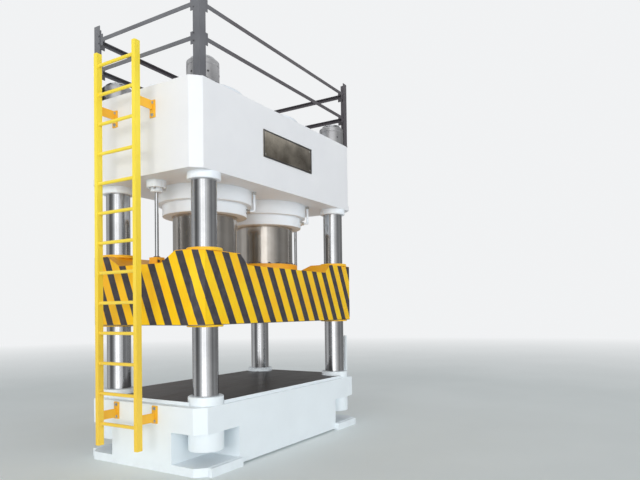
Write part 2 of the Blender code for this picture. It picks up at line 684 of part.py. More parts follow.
def make_return_cylinder(side, x):
    """One small return cylinder with its piston rod and the block that ties the rod to the slide."""
    seat = CROWN_BOTTOM - SEAT_GAP
    rod_hole = RETURN_ROD_RADIUS + RUNNING_GAP
    bore_low = RETURN_BOTTOM + RETURN_GLAND_BORE_LENGTH
    bore_high = RETURN_TOP - RETURN_CAP_THICKNESS
    barrel = [
        (0, bore_high),
        (RETURN_BORE_RADIUS, bore_high),
        (RETURN_BORE_RADIUS, bore_low),
        (rod_hole, bore_low),
        (rod_hole, RETURN_BOTTOM),
        (RETURN_GLAND_RADIUS, RETURN_BOTTOM),
        (RETURN_GLAND_RADIUS, RETURN_FLANGE_BOTTOM),
        (RETURN_FLANGE_RADIUS, RETURN_FLANGE_BOTTOM),
        (RETURN_FLANGE_RADIUS, seat),
        (RETURN_BARREL_RADIUS, seat),
        (RETURN_BARREL_RADIUS, RETURN_TOP),
        (0, RETURN_TOP),
    ]
    block_low = SLIDE_TOP + SEAT_GAP
    block_high = SLIDE_TOP + ANCHOR_HEIGHT
    rod_low = block_high + SEAT_GAP
    piston_radius = RETURN_BORE_RADIUS - RUNNING_GAP
    rod = [
        (0, rod_low),
        (RETURN_ROD_RADIUS, rod_low),
        (RETURN_ROD_RADIUS, PISTON_TOP - PISTON_LENGTH),
        (piston_radius, PISTON_TOP - PISTON_LENGTH),
        (piston_radius, PISTON_TOP),
        (0, PISTON_TOP),
    ]
    anchor_shape = block(around(x, ANCHOR_WIDTH), around(0, ANCHOR_WIDTH), (block_low, block_high))
    anchor = add_object(f"rod_anchor_{side}", anchor_shape, YELLOW)
    soften(anchor, ANCHOR_BEVEL_WIDTH)
    add_object(f"return_barrel_{side}", turned(barrel, RETURN_SIDES, x, 0), WHITE, True)
    add_object(f"return_rod_{side}", turned(rod, RETURN_SIDES, x, 0), CHROME, True)


def make_nameplate():
    """The bare nameplate on the front of the crown."""
    back = CROWN_HALF_Y + SEAT_GAP
    y_range = signed_range(back, back + NAMEPLATE_THICKNESS, -1)
    plate = block(around(0, NAMEPLATE_WIDTH), y_range, around(NAMEPLATE_MIDDLE, NAMEPLATE_HEIGHT))
    add_object("nameplate", plate, PLATE_BRONZE)


def make_ladder():
    """The fixed ladder on the left side, with its rungs and wall brackets welded on."""
    stiles = bmesh.new()
    arms = bmesh.new()
    plates = bmesh.new()
    rungs = bmesh.new()
    wall = PLAN_HALF_X + SEAT_GAP
    plate_x = signed_range(wall, wall + BRACKET_THICKNESS, -1)
    arm_x = signed_range(wall + BRACKET_THICKNESS / 2, LADDER_X, -1)
    heights = ((UPPER_PLATE_MIDDLE, UPPER_ARM_MIDDLE), (LOWER_PLATE_MIDDLE, LOWER_ARM_MIDDLE))
    for side in SIDES.values():
        y = LADDER_OFFSET_Y + side * LADDER_WIDTH / 2
        stile_z = (LADDER_BOTTOM_HEIGHT, LADDER_TOP)
        add_block(stiles, around(-LADDER_X, STILE_DEPTH), around(y, STILE_WIDTH), stile_z)
        for plate_middle, arm_middle in heights:
            add_block(arms, arm_x, around(y, BRACKET_THICKNESS), around(arm_middle, BRACKET_ARM_HEIGHT))
            plate_z = around(plate_middle, BRACKET_PLATE_HEIGHT)
            add_block(plates, plate_x, around(y, BRACKET_PLATE_WIDTH), plate_z)
    start, end = around(LADDER_OFFSET_Y, LADDER_WIDTH)
    for i in range(RUNG_COUNT):
        height = FIRST_RUNG_HEIGHT + i * RUNG_PITCH_HEIGHT
        outline = []
        for step in range(RUNG_SIDES):
            angle = (step + HALF_STEP_SHARE) * math.tau / RUNG_SIDES
            outline.append((RUNG_RADIUS * math.cos(angle) - LADDER_X, height + RUNG_RADIUS * math.sin(angle)))
        add_span(rungs, [(x, start, z) for x, z in outline], [(x, end, z) for x, z in outline])
    ladder = add_object("ladder", stiles, LADDER_YELLOW)
    combine(ladder, "ladder_rungs", rungs, "UNION")
    combine(ladder, "ladder_arms", arms, "UNION")
    combine(ladder, "ladder_plates", plates, "UNION")


def make_guard(name, side_x, lead_y):
    """Half of the guard rail: the two posts of one end, that end's rails and one long side's rails.

    The long rails run from the post at lead_y and lap behind the other half's post.
    """
    posts = bmesh.new()
    feet = bmesh.new()
    notches = []
    for side_y in SIDES.values():
        section = angle_outline(POST_LEG_WIDTH, POST_THICKNESS)
        outline = [(side_x * (GUARD_X - u), side_y * (GUARD_Y - v)) for u, v in section]
        plate_low = CROWN_TOP + SEAT_GAP
        plate_high = plate_low + FOOT_PLATE_THICKNESS
        add_span(
            posts,
            [(x, y, plate_low + FOOT_PLATE_THICKNESS / 2) for x, y in outline],
            [(x, y, POST_TOP) for x, y in outline],
        )
        foot_x = GUARD_X + FOOT_PLATE_LIP_WIDTH
        foot_y = GUARD_Y + FOOT_PLATE_LIP_WIDTH
        add_block(
            feet,
            signed_range(foot_x - FOOT_PLATE_WIDTH_X, foot_x, side_x),
            signed_range(foot_y - FOOT_PLATE_WIDTH_Y, foot_y, side_y),
            (plate_low, plate_high),
        )
        notch = TOP_NUT_RADIUS + FOOT_PLATE_NUT_GAP
        centre = (side_x * HALF_SPACING_X, side_y * HALF_SPACING_Y)
        notches.append(plug(notch, plate_low - CUT_OVERRUN, plate_high + SEAT_GAP, COLUMN_SIDES, *centre))
    rails = bmesh.new()
    tabs = bmesh.new()
    welds = bmesh.new()
    for height in (TOP_RAIL, MIDDLE_RAIL):
        add_rail(rails, tabs, welds, height, GUARD_X, side_x, GUARD_Y, (-1, 1), True)
        add_rail(rails, tabs, welds, height, GUARD_Y, lead_y, GUARD_X, (side_x, -side_x), False)
    guard = add_object(name, posts, RAIL_GREY)
    combine(guard, name + "_feet", feet, "UNION")
    combine(guard, name + "_notches", gathered(notches), "DIFFERENCE")
    combine(guard, name + "_rails", rails, "UNION")
    combine(guard, name + "_tabs", tabs, "UNION")
    combine(guard, name + "_welds", welds, "UNION")


def add_rail(rails, tabs, welds, height, plane, plane_side, half_run, run_sides, across):
    """Adds one angle rail inside the posts' legs, with a tab at each end and its welds.

    The rail stands inside the plane at plane_side*plane and runs along Y if across is true, else
    along X. Its run starts at the first of run_sides, and both ends are welded if it runs across.
    """
    first, second = run_sides
    inset = POST_THICKNESS + SEAT_GAP
    start_inset = RAIL_END_GAP if across else RAIL_START_GAP
    section = [
        (inset, height - RAIL_LEG_WIDTH / 2),
        (inset + RAIL_THICKNESS, height - RAIL_LEG_WIDTH / 2),
        (inset + RAIL_THICKNESS, height + RAIL_LEG_WIDTH / 2 - RAIL_THICKNESS),
        (inset + RAIL_LEG_WIDTH, height + RAIL_LEG_WIDTH / 2 - RAIL_THICKNESS),
        (inset + RAIL_LEG_WIDTH, height + RAIL_LEG_WIDTH / 2),
        (inset, height + RAIL_LEG_WIDTH / 2),
    ]
    ends = (first * (half_run - start_inset), second * (half_run - RAIL_END_GAP))
    outlines = []
    for run in ends:
        points = [(plane_side * (plane - depth), z) for depth, z in section]
        outlines.append([(d, run, z) if across else (run, d, z) for d, z in points])
    add_span(rails, *outlines)
    tab_depth = signed_range(plane - inset - RAIL_THICKNESS, plane - inset, plane_side)
    weld_depth = signed_range(plane - inset - RAIL_THICKNESS / 2, plane - POST_THICKNESS / 2, plane_side)
    for run_side in run_sides:
        tab_run = signed_range(half_run - TAB_LENGTH, half_run - RAIL_END_GAP, run_side)
        pair = (tab_depth, tab_run) if across else (tab_run, tab_depth)
        add_block(tabs, *pair, around(height, TAB_HEIGHT))
        if across or run_side == first:
            weld_far = half_run - WELD_START_LENGTH
            weld_run = signed_range(weld_far - WELD_LENGTH, weld_far, run_side)
            pair = (weld_depth, weld_run) if across else (weld_run, weld_depth)
            add_block(welds, *pair, around(height, RAIL_LEG_WIDTH / 2))


def make_limit_post():
    """The slim limit post on the bed's right end, held off the bed by a pad."""
    near = PLAN_HALF_X + LIMIT_POST_GAP
    wall = PLAN_HALF_X + SEAT_GAP
    y_range = around(LIMIT_POST_Y, LIMIT_POST_WIDTH)
    upright = block((near, near + LIMIT_POST_WIDTH), y_range, (LIMIT_POST_BOTTOM, LIMIT_POST_TOP))
    pad = block((wall, near + LIMIT_POST_WIDTH / 2), y_range, around(LIMIT_PAD_MIDDLE, LIMIT_PAD_HEIGHT))
    post = add_object("limit_post", upright, WHITE)
    combine(post, "limit_post_pad", pad, "UNION")


def main():
    """Builds every piece of the press."""
    clear_scene()
    make_bed()
    make_table()
    make_crown()
    make_slide()
    make_columns()
    make_slide_bushes()
    for side, sign in SIDES.items():
        make_main_cylinder(side, sign * MAIN_OFFSET_X)
        make_ram(side, sign * MAIN_OFFSET_X)
        make_return_cylinder(side, sign * RETURN_OFFSET_X)
    make_nameplate()
    make_ladder()
    make_guard("guard_left", -1, -1)
    make_guard("guard_right", 1, 1)
    make_limit_post()


main()
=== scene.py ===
"""Looks of a four-column hydraulic press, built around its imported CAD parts."""

import logging
import math
from dataclasses import dataclass
from enum import Enum
from functools import cache
from typing import Optional, Protocol, Sequence

import bmesh
import bpy
from mathutils import Matrix, Vector


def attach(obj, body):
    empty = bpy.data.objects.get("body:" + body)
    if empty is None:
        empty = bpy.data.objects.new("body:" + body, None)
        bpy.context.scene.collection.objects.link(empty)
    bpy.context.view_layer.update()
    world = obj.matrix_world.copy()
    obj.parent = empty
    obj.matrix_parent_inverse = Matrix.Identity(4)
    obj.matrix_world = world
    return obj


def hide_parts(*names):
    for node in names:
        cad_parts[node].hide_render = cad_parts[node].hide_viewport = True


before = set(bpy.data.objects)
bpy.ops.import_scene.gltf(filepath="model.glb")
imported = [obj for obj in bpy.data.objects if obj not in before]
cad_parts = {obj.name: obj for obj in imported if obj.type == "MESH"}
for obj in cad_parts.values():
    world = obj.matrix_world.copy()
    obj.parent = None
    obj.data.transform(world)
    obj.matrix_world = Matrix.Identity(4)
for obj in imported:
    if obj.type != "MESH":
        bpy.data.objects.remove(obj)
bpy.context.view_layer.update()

LOG = logging.getLogger("press")

Pair = tuple[float, float]
Point = tuple[float, float, float]
Profile = Sequence[Pair]
Colour = tuple[float, float, float]
Socket = bpy.types.NodeSocket
Material = bpy.types.Material

SHARP_ANGLE = math.radians(32)
WIDE_ROUND_STEPS = 128
ROUND_STEPS = 96
SLIM_ROUND_STEPS = 48
SMALL_ROUND_STEPS = 24
RAM_STEPS = 160
BARREL_STEPS = 64
SCREW_STEPS = 20
HEXAGON = 6
FLAT_FACE = 0.9
UP: Point = (0, 0, 1)
DOWN: Point = (0, 0, -1)

COLUMN_X, COLUMN_Y = 1.25, 0.625
RAM_X, RETURN_X = 0.56, 1.28
CORNERS: dict[str, tuple[int, int]] = {
    "front_left": (-1, -1),
    "front_right": (1, -1),
    "back_right": (1, 1),
    "back_left": (-1, 1),
}
SIDES: dict[str, int] = {"left": -1, "right": 1}
Centres = tuple[tuple[str, Pair], ...]
COLUMN_CENTRES: Centres = tuple((name, (x * COLUMN_X, y * COLUMN_Y)) for name, (x, y) in CORNERS.items())
RAM_CENTRES: Centres = tuple((name, (sign * RAM_X, 0.0)) for name, sign in SIDES.items())
RETURN_CENTRES: Centres = tuple((name, (sign * RETURN_X, 0.0)) for name, sign in SIDES.items())


class Body(Enum):
    """The two bodies that a piece can ride on."""

    FRAME = "frame"
    SLIDE = "slide"


# Materials


@dataclass(frozen=True)
class Paint:
    """A sprayed or brushed paint coat; low is its colour near the floor, which on the white enamel is
    painted light, and far is a darker colour to the right, painted shade.
    """

    name: str
    colour: Colour
    shade: Colour
    roughness: float
    coat: float
    grain: float
    dirt: float
    low: Optional[Colour] = None
    far: Optional[Colour] = None


@dataclass(frozen=True)
class Metal:
    """A bare metal surface; marks says how fine its tool marks are along X, Y and Z, and far is a darker
    colour to the right, painted shade that leaves a painted sheen on the left.
    """

    name: str
    colour: Colour
    shade: Colour
    roughness: float
    spread: float
    marks: Point
    depth: float
    far: Optional[Colour] = None


@dataclass(frozen=True)
class Stripes:
    """The slide's hazard stripes: their colours, among them painted shade, an oranger yellow toward the
    back, the yellow's share of a pitch and the soft edge's width.
    """

    name: str = "hazard_stripes"
    yellow: Colour = (0.99, 0.665, 0.004)
    amber: Colour = (0.98, 0.545, 0.004)
    # Painted shade: the oranger yellow toward the back.
    painted_back_shade: Colour = (0.97, 0.42, 0.006)
    black: Colour = (0.050, 0.046, 0.054)
    worn: Colour = (0.085, 0.078, 0.088)
    edge: float = 0.012
    share: float = 0.53
    layer: str = "stripe"


@dataclass(frozen=True)
class Rubber:
    """A dull rubber."""

    name: str
    colour: Colour


# Heights over which a paint's low colour blends into its main colour; on the white enamel this low colour is
# painted light.
LOW_COLOUR_HEIGHTS: Pair = (0.7, 2.7)
LOW_MOTTLE = 0.96
DUST_TONE = 0.62
DUST_HEIGHT = 0.16
COAT_ROUGHNESS = 0.18
# Where on X, and how far, a finish's far colour paints shade in toward the right.
PAINT_PAINTED_SHADE_X: Pair = (-1.55, -0.9)
METAL_PAINTED_SHADE_X: Pair = (-0.9, 1.1)
PAINTED_SHADE_SHARE = 0.9


def scaled(colour: Colour, share: float) -> Colour:
    """Gives a colour with all its parts scaled."""
    return tuple(part * share for part in colour)


class Nodes:
    """A node tree, with short calls for adding and joining its nodes."""

    def __init__(self, tree: bpy.types.NodeTree) -> None:
        """Starts with an emptied tree."""
        self.tree = tree
        self.tree.nodes.clear()

    def node(
        self, kind: str, inputs: Optional[dict[str, object]] = None, **settings: object
    ) -> bpy.types.Node:
        """Adds a node of the given kind and sets its properties and the values of its inputs.

        Args:
            kind: The node's type.
            inputs: Values of its inputs, by name.
            settings: Its properties.

        Returns:
            The new node.
        """
        made = self.tree.nodes.new(kind)
        for key, value in settings.items():
            setattr(made, key, value)
        for key, value in (inputs or {}).items():
            made.inputs[key].default_value = value
        return made

    def link(self, source: Socket, target: Socket) -> None:
        """Joins an output to an input."""
        self.tree.links.new(source, target)

    def ranged(
        self, value: Socket, low: float, high: float, to_low: float = 0.0, to_high: float = 1.0,
        curve: str = "LINEAR",
    ) -> Socket:
        """Maps a value's range from low and high to to_low and to_high, and clamps it.

        Args:
            value: The value to map.
            low: Lower end of its range.
            high: Upper end of its range.
            to_low: Result at the lower end.
            to_high: Result at the upper end.
            curve: How the result runs between the ends.

        Returns:
            The mapped value.
        """
        limits = {"From Min": low, "From Max": high, "To Min": to_low, "To Max": to_high}
        made = self.node("ShaderNodeMapRange", limits, interpolation_type=curve)
        self.link(value, made.inputs["Value"])
        return made.outputs["Result"]

    def maths(self, operation: str, first: Socket, second: Socket | float = 0.0) -> Socket:
        """Adds a maths node that takes one socket and a second socket or number.

        Args:
            operation: What it works out.
            first: The first value.
            second: The second value.

        Returns:
            The node's result.
        """
        made = self.node("ShaderNodeMath", operation=operation)
        self.link(first, made.inputs[0])
        if isinstance(second, (int, float)):
            made.inputs[1].default_value = second
        else:
            self.link(second, made.inputs[1])
        return made.outputs["Value"]

    def part(self, vector: Socket, axis: int) -> Socket:
        """Gives one part of a vector, 0 for X, 1 for Y and 2 for Z.

        Args:
            vector: The vector.
            axis: Which part.

        Returns:
            That part's value.
        """
        split = self.node("ShaderNodeSeparateXYZ")
        self.link(vector, split.inputs["Vector"])
        return split.outputs[axis]


class Shader(Nodes):
    """The node tree of one material, with the calls that the finishes share."""

    def __init__(self, name: str) -> None:
        """Starts a material with a surface shader and the object's own coordinates.

        Args:
            name: The material's name.
        """
        self.material = bpy.data.materials.new(name)
        self.material.use_nodes = True
        super().__init__(self.material.node_tree)
        self.surface = self.node("ShaderNodeBsdfPrincipled")
        output = self.node("ShaderNodeOutputMaterial")
        self.link(self.surface.outputs["BSDF"], output.inputs["Surface"])
        self.place = self.node("ShaderNodeTexCoord").outputs["Object"]

    def stretched(self, scale: Point) -> Socket:
        """Gives the object coordinates with each axis scaled.

        Args:
            scale: Factors for X, Y and Z.

        Returns:
            The scaled coordinates.
        """
        mapping = self.node("ShaderNodeMapping", {"Scale": scale})
        self.link(self.place, mapping.inputs["Vector"])
        return mapping.outputs["Vector"]

    def noise(
        self, scale: float, detail: float = 4.0, roughness: float = 0.55, place: Optional[Socket] = None
    ) -> Socket:
        """Adds a noise texture.

        Args:
            scale: Size of the pattern; higher is finer.
            detail: Number of finer layers.
            roughness: Strength of the finer layers.
            place: Coordinates, or None for the object's own.

        Returns:
            The texture's value from 0 to 1.
        """
        made = self.node("ShaderNodeTexNoise", {"Scale": scale, "Detail": detail, "Roughness": roughness})
        self.link(place or self.place, made.inputs["Vector"])
        return made.outputs["Fac"]

    def mixed(self, factor: Socket, first: Colour | Socket, second: Colour | Socket) -> Socket:
        """Mixes two colours by a factor.

        Args:
            factor: The second colour's share, from 0 to 1.
            first: The first colour.
            second: The second colour.

        Returns:
            The mixed colour.
        """
        made = self.node("ShaderNodeMix", data_type="RGBA")
        self.link(factor, made.inputs["Factor"])
        for entry, key in ((first, 6), (second, 7)):
            if isinstance(entry, tuple):
                made.inputs[key].default_value = (*entry, 1.0)
            else:
                self.link(entry, made.inputs[key])
        return made.outputs[2]

    def bump(
        self, height: Socket, strength: float, distance: float, under: Optional[Socket] = None
    ) -> Socket:
        """Adds a bump over an earlier bump, if there is one.

        Args:
            height: The pattern of heights.
            strength: How strongly it shows.
            distance: Height in metres at a value of 1.
            under: The earlier bump's normal, or None.

        Returns:
            The new normal.
        """
        made = self.node("ShaderNodeBump", {"Strength": strength, "Distance": distance})
        self.link(height, made.inputs["Height"])
        if under is not None:
            self.link(under, made.inputs["Normal"])
        return made.outputs["Normal"]

    def along(self, axis: int) -> Socket:
        """Gives the place along one axis in metres."""
        return self.part(self.place, axis)

    def painted_shade_along_x(self, colour: Socket, far: Optional[Colour], reach: Pair) -> Socket:
        """Blends a colour into a darker one along X, if there is one, as painted shade toward the right.

        Args:
            colour: The colour at the low end.
            far: The colour that it nearly reaches at the high end, or None.
            reach: Where the blend starts and ends on X.

        Returns:
            The blended colour.
        """
        if far is None:
            return colour
        return self.mixed(self.ranged(self.along(0), *reach, 0.0, PAINTED_SHADE_SHARE), colour, far)

    def feed(self, name: str, source: Socket) -> None:
        """Links a socket to the named input of the surface shader."""
        self.link(source, self.surface.inputs[name])

    def fixed(self, name: str, value: float) -> None:
        """Sets the named input of the surface shader."""
        self.surface.inputs[name].default_value = value


def paint(finish: Paint) -> Material:
    """Makes a paint with a soft mottle, an uneven film and a little shop dirt near the floor, blended into
    its low colour near the floor and into its far colour, painted shade, to the right.

    Args:
        finish: The paint's name, colours and surface.

    Returns:
        The new material.
    """
    shader = Shader(finish.name)
    mottle = shader.ranged(shader.noise(1.7, 6.0, 0.6), 0.35, 0.68)
    colour = shader.mixed(mottle, finish.shade, finish.colour)
    # On the white enamel the brighter, bluer low colour is painted light, standing for the light from the
    # front low down.
    if finish.low is not None:
        foot = shader.mixed(mottle, scaled(finish.low, LOW_MOTTLE), finish.low)
        colour = shader.mixed(shader.ranged(shader.along(2), *LOW_COLOUR_HEIGHTS), foot, colour)
    specks = shader.ranged(shader.noise(38.0, 8.0, 0.75), 0.66, 0.80, 0.0, finish.dirt)
    dust = scaled(finish.shade, DUST_TONE)
    colour = shader.mixed(specks, colour, dust)
    low = shader.ranged(shader.along(2), 0.0, DUST_HEIGHT, 1.0, 0.0)
    cloud = shader.ranged(shader.noise(6.0, 6.0, 0.65), 0.42, 0.66, 0.0, finish.dirt * 1.4)
    colour = shader.mixed(shader.maths("MULTIPLY", low, cloud), colour, dust)
    # Painted shade: a far colour darkens the paint toward the right.
    shader.feed("Base Color", shader.painted_shade_along_x(colour, finish.far, PAINT_PAINTED_SHADE_X))
    film = shader.noise(14.0, 5.0, 0.6)
    shader.feed("Roughness", shader.ranged(film, 0.3, 0.7, finish.roughness - 0.06, finish.roughness + 0.08))
    shader.fixed("Coat Weight", finish.coat)
    shader.fixed("Coat Roughness", COAT_ROUGHNESS)
    peel = shader.bump(shader.noise(240.0, 3.0, 0.5), finish.grain, 0.0004)
    waves = shader.bump(shader.noise(5.5, 2.0, 0.4), finish.grain * 0.8, 0.004, peel)
    shader.feed("Normal", waves)
    return shader.material


def metal(finish: Metal) -> Material:
    """Makes a bare metal with fine tool marks, a thin uneven film of oil and, where it has a far colour,
    painted shade toward the right.

    Args:
        finish: The metal's name, colours and surface.

    Returns:
        The new material.
    """
    shader = Shader(finish.name)
    marks = shader.noise(1.0, 5.0, 0.7, shader.stretched(finish.marks))
    film = shader.noise(3.2, 5.0, 0.6)
    colour = shader.mixed(shader.ranged(film, 0.35, 0.66), finish.shade, finish.colour)
    # Painted shade toward the right, which leaves a painted sheen on the left.
    shader.feed("Base Color", shader.painted_shade_along_x(colour, finish.far, METAL_PAINTED_SHADE_X))
    shader.fixed("Metallic", 1.0)
    blend = shader.maths("MULTIPLY", shader.ranged(marks, 0.3, 0.7), shader.ranged(film, 0.3, 0.7, 0.4, 1.0))
    high = finish.roughness + finish.spread
    shader.feed("Roughness", shader.ranged(blend, 0.0, 1.0, finish.roughness, high))
    shader.feed("Normal", shader.bump(marks, 0.35, finish.depth))
    return shader.material


def stripes(finish: Stripes) -> Material:
    """Makes the slanted yellow and black bands from the piece's own stripe layer.

    Args:
        finish: The bands' colours, widths and layer.

    Returns:
        The new material.
    """
    shader = Shader(finish.name)
    layer = shader.node("ShaderNodeUVMap", uv_map=finish.layer)
    wander = shader.ranged(shader.noise(9.0, 4.0, 0.6), 0.3, 0.7, -0.008, 0.008)
    band = shader.maths("ADD", shader.part(layer.outputs["UV"], 0), wander)
    band = shader.maths("FRACT", shader.maths("ADD", band, 0.5))
    away = shader.maths("ABSOLUTE", shader.maths("SUBTRACT", band, 0.5))
    half = finish.share / 2
    dark = shader.ranged(away, half - finish.edge, half + finish.edge)
    cloud = shader.ranged(shader.noise(2.2, 5.0, 0.6), 0.38, 0.66)
    yellow = shader.mixed(cloud, finish.amber, finish.yellow)
    # Painted shade: the yellow turns oranger toward the back, where less light falls.
    yellow = shader.mixed(shader.ranged(shader.along(1), -0.25, 0.9, 0.0, 0.6), yellow, finish.painted_back_shade)
    black = shader.mixed(shader.ranged(shader.noise(11.0, 6.0, 0.7), 0.4, 0.72), finish.black, finish.worn)
    scuffs = shader.ranged(shader.noise(60.0, 8.0, 0.8), 0.70, 0.80, 0.0, 0.5)
    colour = shader.mixed(scuffs, shader.mixed(dark, yellow, black), finish.worn)
    shader.feed("Base Color", colour)
    shader.feed("Roughness", shader.ranged(shader.noise(17.0, 5.0, 0.6), 0.3, 0.7, 0.34, 0.5))
    shader.fixed("Specular IOR Level", 0.25)
    film = shader.maths("ADD", dark, shader.noise(190.0, 3.0, 0.5))
    shader.feed("Normal", shader.bump(film, 0.25, 0.0004))
    return shader.material


def rubber(finish: Rubber) -> Material:
    """Makes a dull rubber with a fine moulded grain.

    Args:
        finish: The rubber's name and colour.

    Returns:
        The new material.
    """
    shader = Shader(finish.name)
    bloom = shader.ranged(shader.noise(9.0), 0.4, 0.7)
    shader.feed("Base Color", shader.mixed(bloom, finish.colour, scaled(finish.colour, 2.2)))
    shader.feed("Roughness", shader.ranged(shader.noise(30.0), 0.3, 0.7, 0.6, 0.8))
    shader.feed("Normal", shader.bump(shader.noise(320.0), 0.3, 0.0003))
    return shader.material


def floor_cover(name: str, colour: Colour, shade: Colour, backdrop: Colour) -> Material:
    """Makes a smooth pale floor that runs out into the backdrop far from the press.

    Args:
        name: The material's name.
        colour: Its colour where it is palest.
        shade: Its colour between.
        backdrop: The colour that it glows with far away.

    Returns:
        The new material.
    """
    shader = Shader(name)
    cloud = shader.ranged(shader.noise(0.35, 5.0, 0.55), 0.35, 0.66)
    away = shader.node("ShaderNodeVectorMath", operation="LENGTH")
    shader.link(shader.place, away.inputs[0])
    far = shader.ranged(away.outputs["Value"], 7.0, 26.0)
    shader.feed("Base Color", shader.mixed(far, shader.mixed(cloud, shade, colour), (0.0, 0.0, 0.0)))
    shader.feed("Emission Color", shader.mixed(cloud, backdrop, backdrop))
    shader.feed("Emission Strength", far)
    shader.feed("Roughness", shader.ranged(shader.noise(3.0), 0.3, 0.7, 0.70, 0.85))
    shader.fixed("Specular IOR Level", 0.0)
    return shader.material


def curtain(name: str, tones: Sequence[Pair]) -> Material:
    """Makes a back-lit studio curtain whose tone changes with the bearing.

    Args:
        name: The material's name.
        tones: Pairs of a bearing in degrees and the cloth's brightness there, rising from 0 to 360.

    Returns:
        The material.
    """
    shader = Shader(name)
    angle = shader.maths("ARCTAN2", shader.along(1), shader.along(0))
    turn = shader.maths("FRACT", shader.maths("DIVIDE", shader.maths("ADD", angle, math.tau), math.tau))
    ramp = shader.node("ShaderNodeValToRGB")
    ramp.color_ramp.interpolation = "EASE"
    shader.link(turn, ramp.inputs["Fac"])
    stops = ramp.color_ramp.elements
    while len(stops) < len(tones):
        stops.new(1.0)
    for stop, (bearing, tone) in zip(stops, tones):
        stop.position = bearing / 360.0
        stop.color = (tone, tone, tone, 1.0)
    folds = shader.noise(1.0, 3.0, 0.6, shader.stretched((0.55, 0.55, 0.02)))
    folds = shader.ranged(folds, 0.3, 0.7, 0.82, 1.15)
    shader.fixed("Specular IOR Level", 0.0)
    shader.feed("Base Color", shader.mixed(folds, (0.02, 0.02, 0.02), (0.03, 0.03, 0.03)))
    shader.feed("Emission Strength", shader.maths("MULTIPLY", ramp.outputs["Color"], folds))
    tint = shader.ranged(shader.noise(0.2), 0.3, 0.7)
    shader.feed("Emission Color", shader.mixed(tint, (1.0, 0.985, 0.965), (0.97, 0.985, 1.0)))
    return shader.material


class Finish(Enum):
    """Every finish of the press."""

    # The white enamel; its low colour, brighter and bluer near the floor, is painted light.
    WHITE = Paint(
        "white_enamel", (0.85, 0.858, 0.876), (0.81, 0.82, 0.842), 0.4, 0.25, 0.1, 0.1,
        low=(0.89, 0.958, 0.995),
    )
    # A brighter, bluer copy of the white enamel for the cylinders, collars and pipe round the crown, which
    # get less light: painted light.
    BRIGHTENED_WHITE = Paint("white_enamel_brightened", (0.9, 0.95, 1.0), (0.87, 0.92, 0.975), 0.4, 0.25, 0.1, 0.08)
    LADDER = Paint(
        "ladder_yellow", (0.97, 0.78, 0.055), (0.95, 0.73, 0.04), 0.42, 0.1, 0.16, 0.1,
        low=(0.98, 0.66, 0.06),
    )
    BRACKET = Paint("bracket_amber", (0.97, 0.55, 0.03), (0.95, 0.47, 0.02), 0.42, 0.1, 0.16, 0.12)
    GOLD = Paint("bush_yellow", (0.99, 0.66, 0.012), (0.95, 0.5, 0.008), 0.42, 0.1, 0.16, 0.2)
    AMBER = Paint("deck_yellow", (0.95, 0.5, 0.01), (0.9, 0.4, 0.008), 0.45, 0.08, 0.16, 0.22)
    # The rails' far colour darkens them toward the right: painted shade.
    GREY = Paint(
        "rail_grey", (0.18, 0.187, 0.202), (0.115, 0.12, 0.134), 0.42, 0.3, 0.18, 0.3,
        far=(0.068, 0.058, 0.066),
    )
    CHROME = Metal("hard_chrome", (0.6, 0.61, 0.625), (0.5, 0.51, 0.525), 0.1, 0.08, (3, 3, 260), 0.000008)
    # The rams are chrome like the columns; their warm tint is painted reflection.
    RAM = Metal("ground_ram_warm_reflection", (0.58, 0.55, 0.51), (0.48, 0.445, 0.405), 0.16, 0.08, (3, 3, 220), 0.000012)
    STEEL = Metal("turned_steel", (0.6, 0.6, 0.61), (0.48, 0.48, 0.49), 0.26, 0.14, (30, 30, 160), 0.0001)
    # The table's far colour darkens it toward the right, so its left reads as a painted sheen.
    TABLE = Metal(
        "planed_table", (0.115, 0.09, 0.083), (0.05, 0.041, 0.039), 0.3, 0.2, (3, 90, 90), 0.0002,
        far=(0.04, 0.034, 0.034),
    )
    UNDER = Metal("planed_underside", (0.3, 0.29, 0.28), (0.2, 0.19, 0.185), 0.34, 0.2, (60, 3, 60), 0.0002)
    PLATE = Metal("brushed_plate", (0.54, 0.49, 0.41), (0.21, 0.185, 0.15), 0.26, 0.16, (3, 40, 260), 0.0001)
    BRONZE = Metal("bush_bronze", (0.6, 0.42, 0.2), (0.45, 0.3, 0.14), 0.28, 0.16, (20, 20, 200), 0.0001)
    BOLT = Metal("blackened_bolt", (0.2, 0.2, 0.21), (0.1, 0.1, 0.105), 0.34, 0.2, (40, 40, 40), 0.0002)
    ZINC = Metal("zinc_bolt", (0.62, 0.62, 0.6), (0.46, 0.46, 0.45), 0.3, 0.18, (50, 50, 50), 0.0002)
    STRIPE = Stripes()
    PACKING = Rubber("packing_rubber", (0.02, 0.02, 0.022))


MAKERS = {Paint: paint, Metal: metal, Stripes: stripes, Rubber: rubber}


@cache
def material_of(finish: Finish) -> Material:
    """Makes the material of a finish, once."""
    return MAKERS[type(finish.value)](finish.value)


# Forms


def placed(name: str, data: bpy.types.ID) -> bpy.types.Object:
    """Makes an object from its data and adds it to the scene.

    Args:
        name: The object's name.
        data: Its mesh, light or camera.

    Returns:
        The new object.
    """
    made = bpy.data.objects.new(name, data)
    bpy.context.scene.collection.objects.link(made)
    return made


def meshed(name: str, part: bmesh.types.BMesh) -> bpy.types.Mesh:
    """Makes a mesh from a finished part, which is used up.

    Args:
        name: The mesh's name.
        part: The finished part.

    Returns:
        The new mesh.
    """
    mesh = bpy.data.meshes.new(name)
    part.to_mesh(mesh)
    part.free()
    return mesh


def dressed(node: str, finish: Finish) -> None:
    """Gives every slot of a shown CAD node its procedural material."""
    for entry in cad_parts[node].material_slots:
        entry.material = material_of(finish)


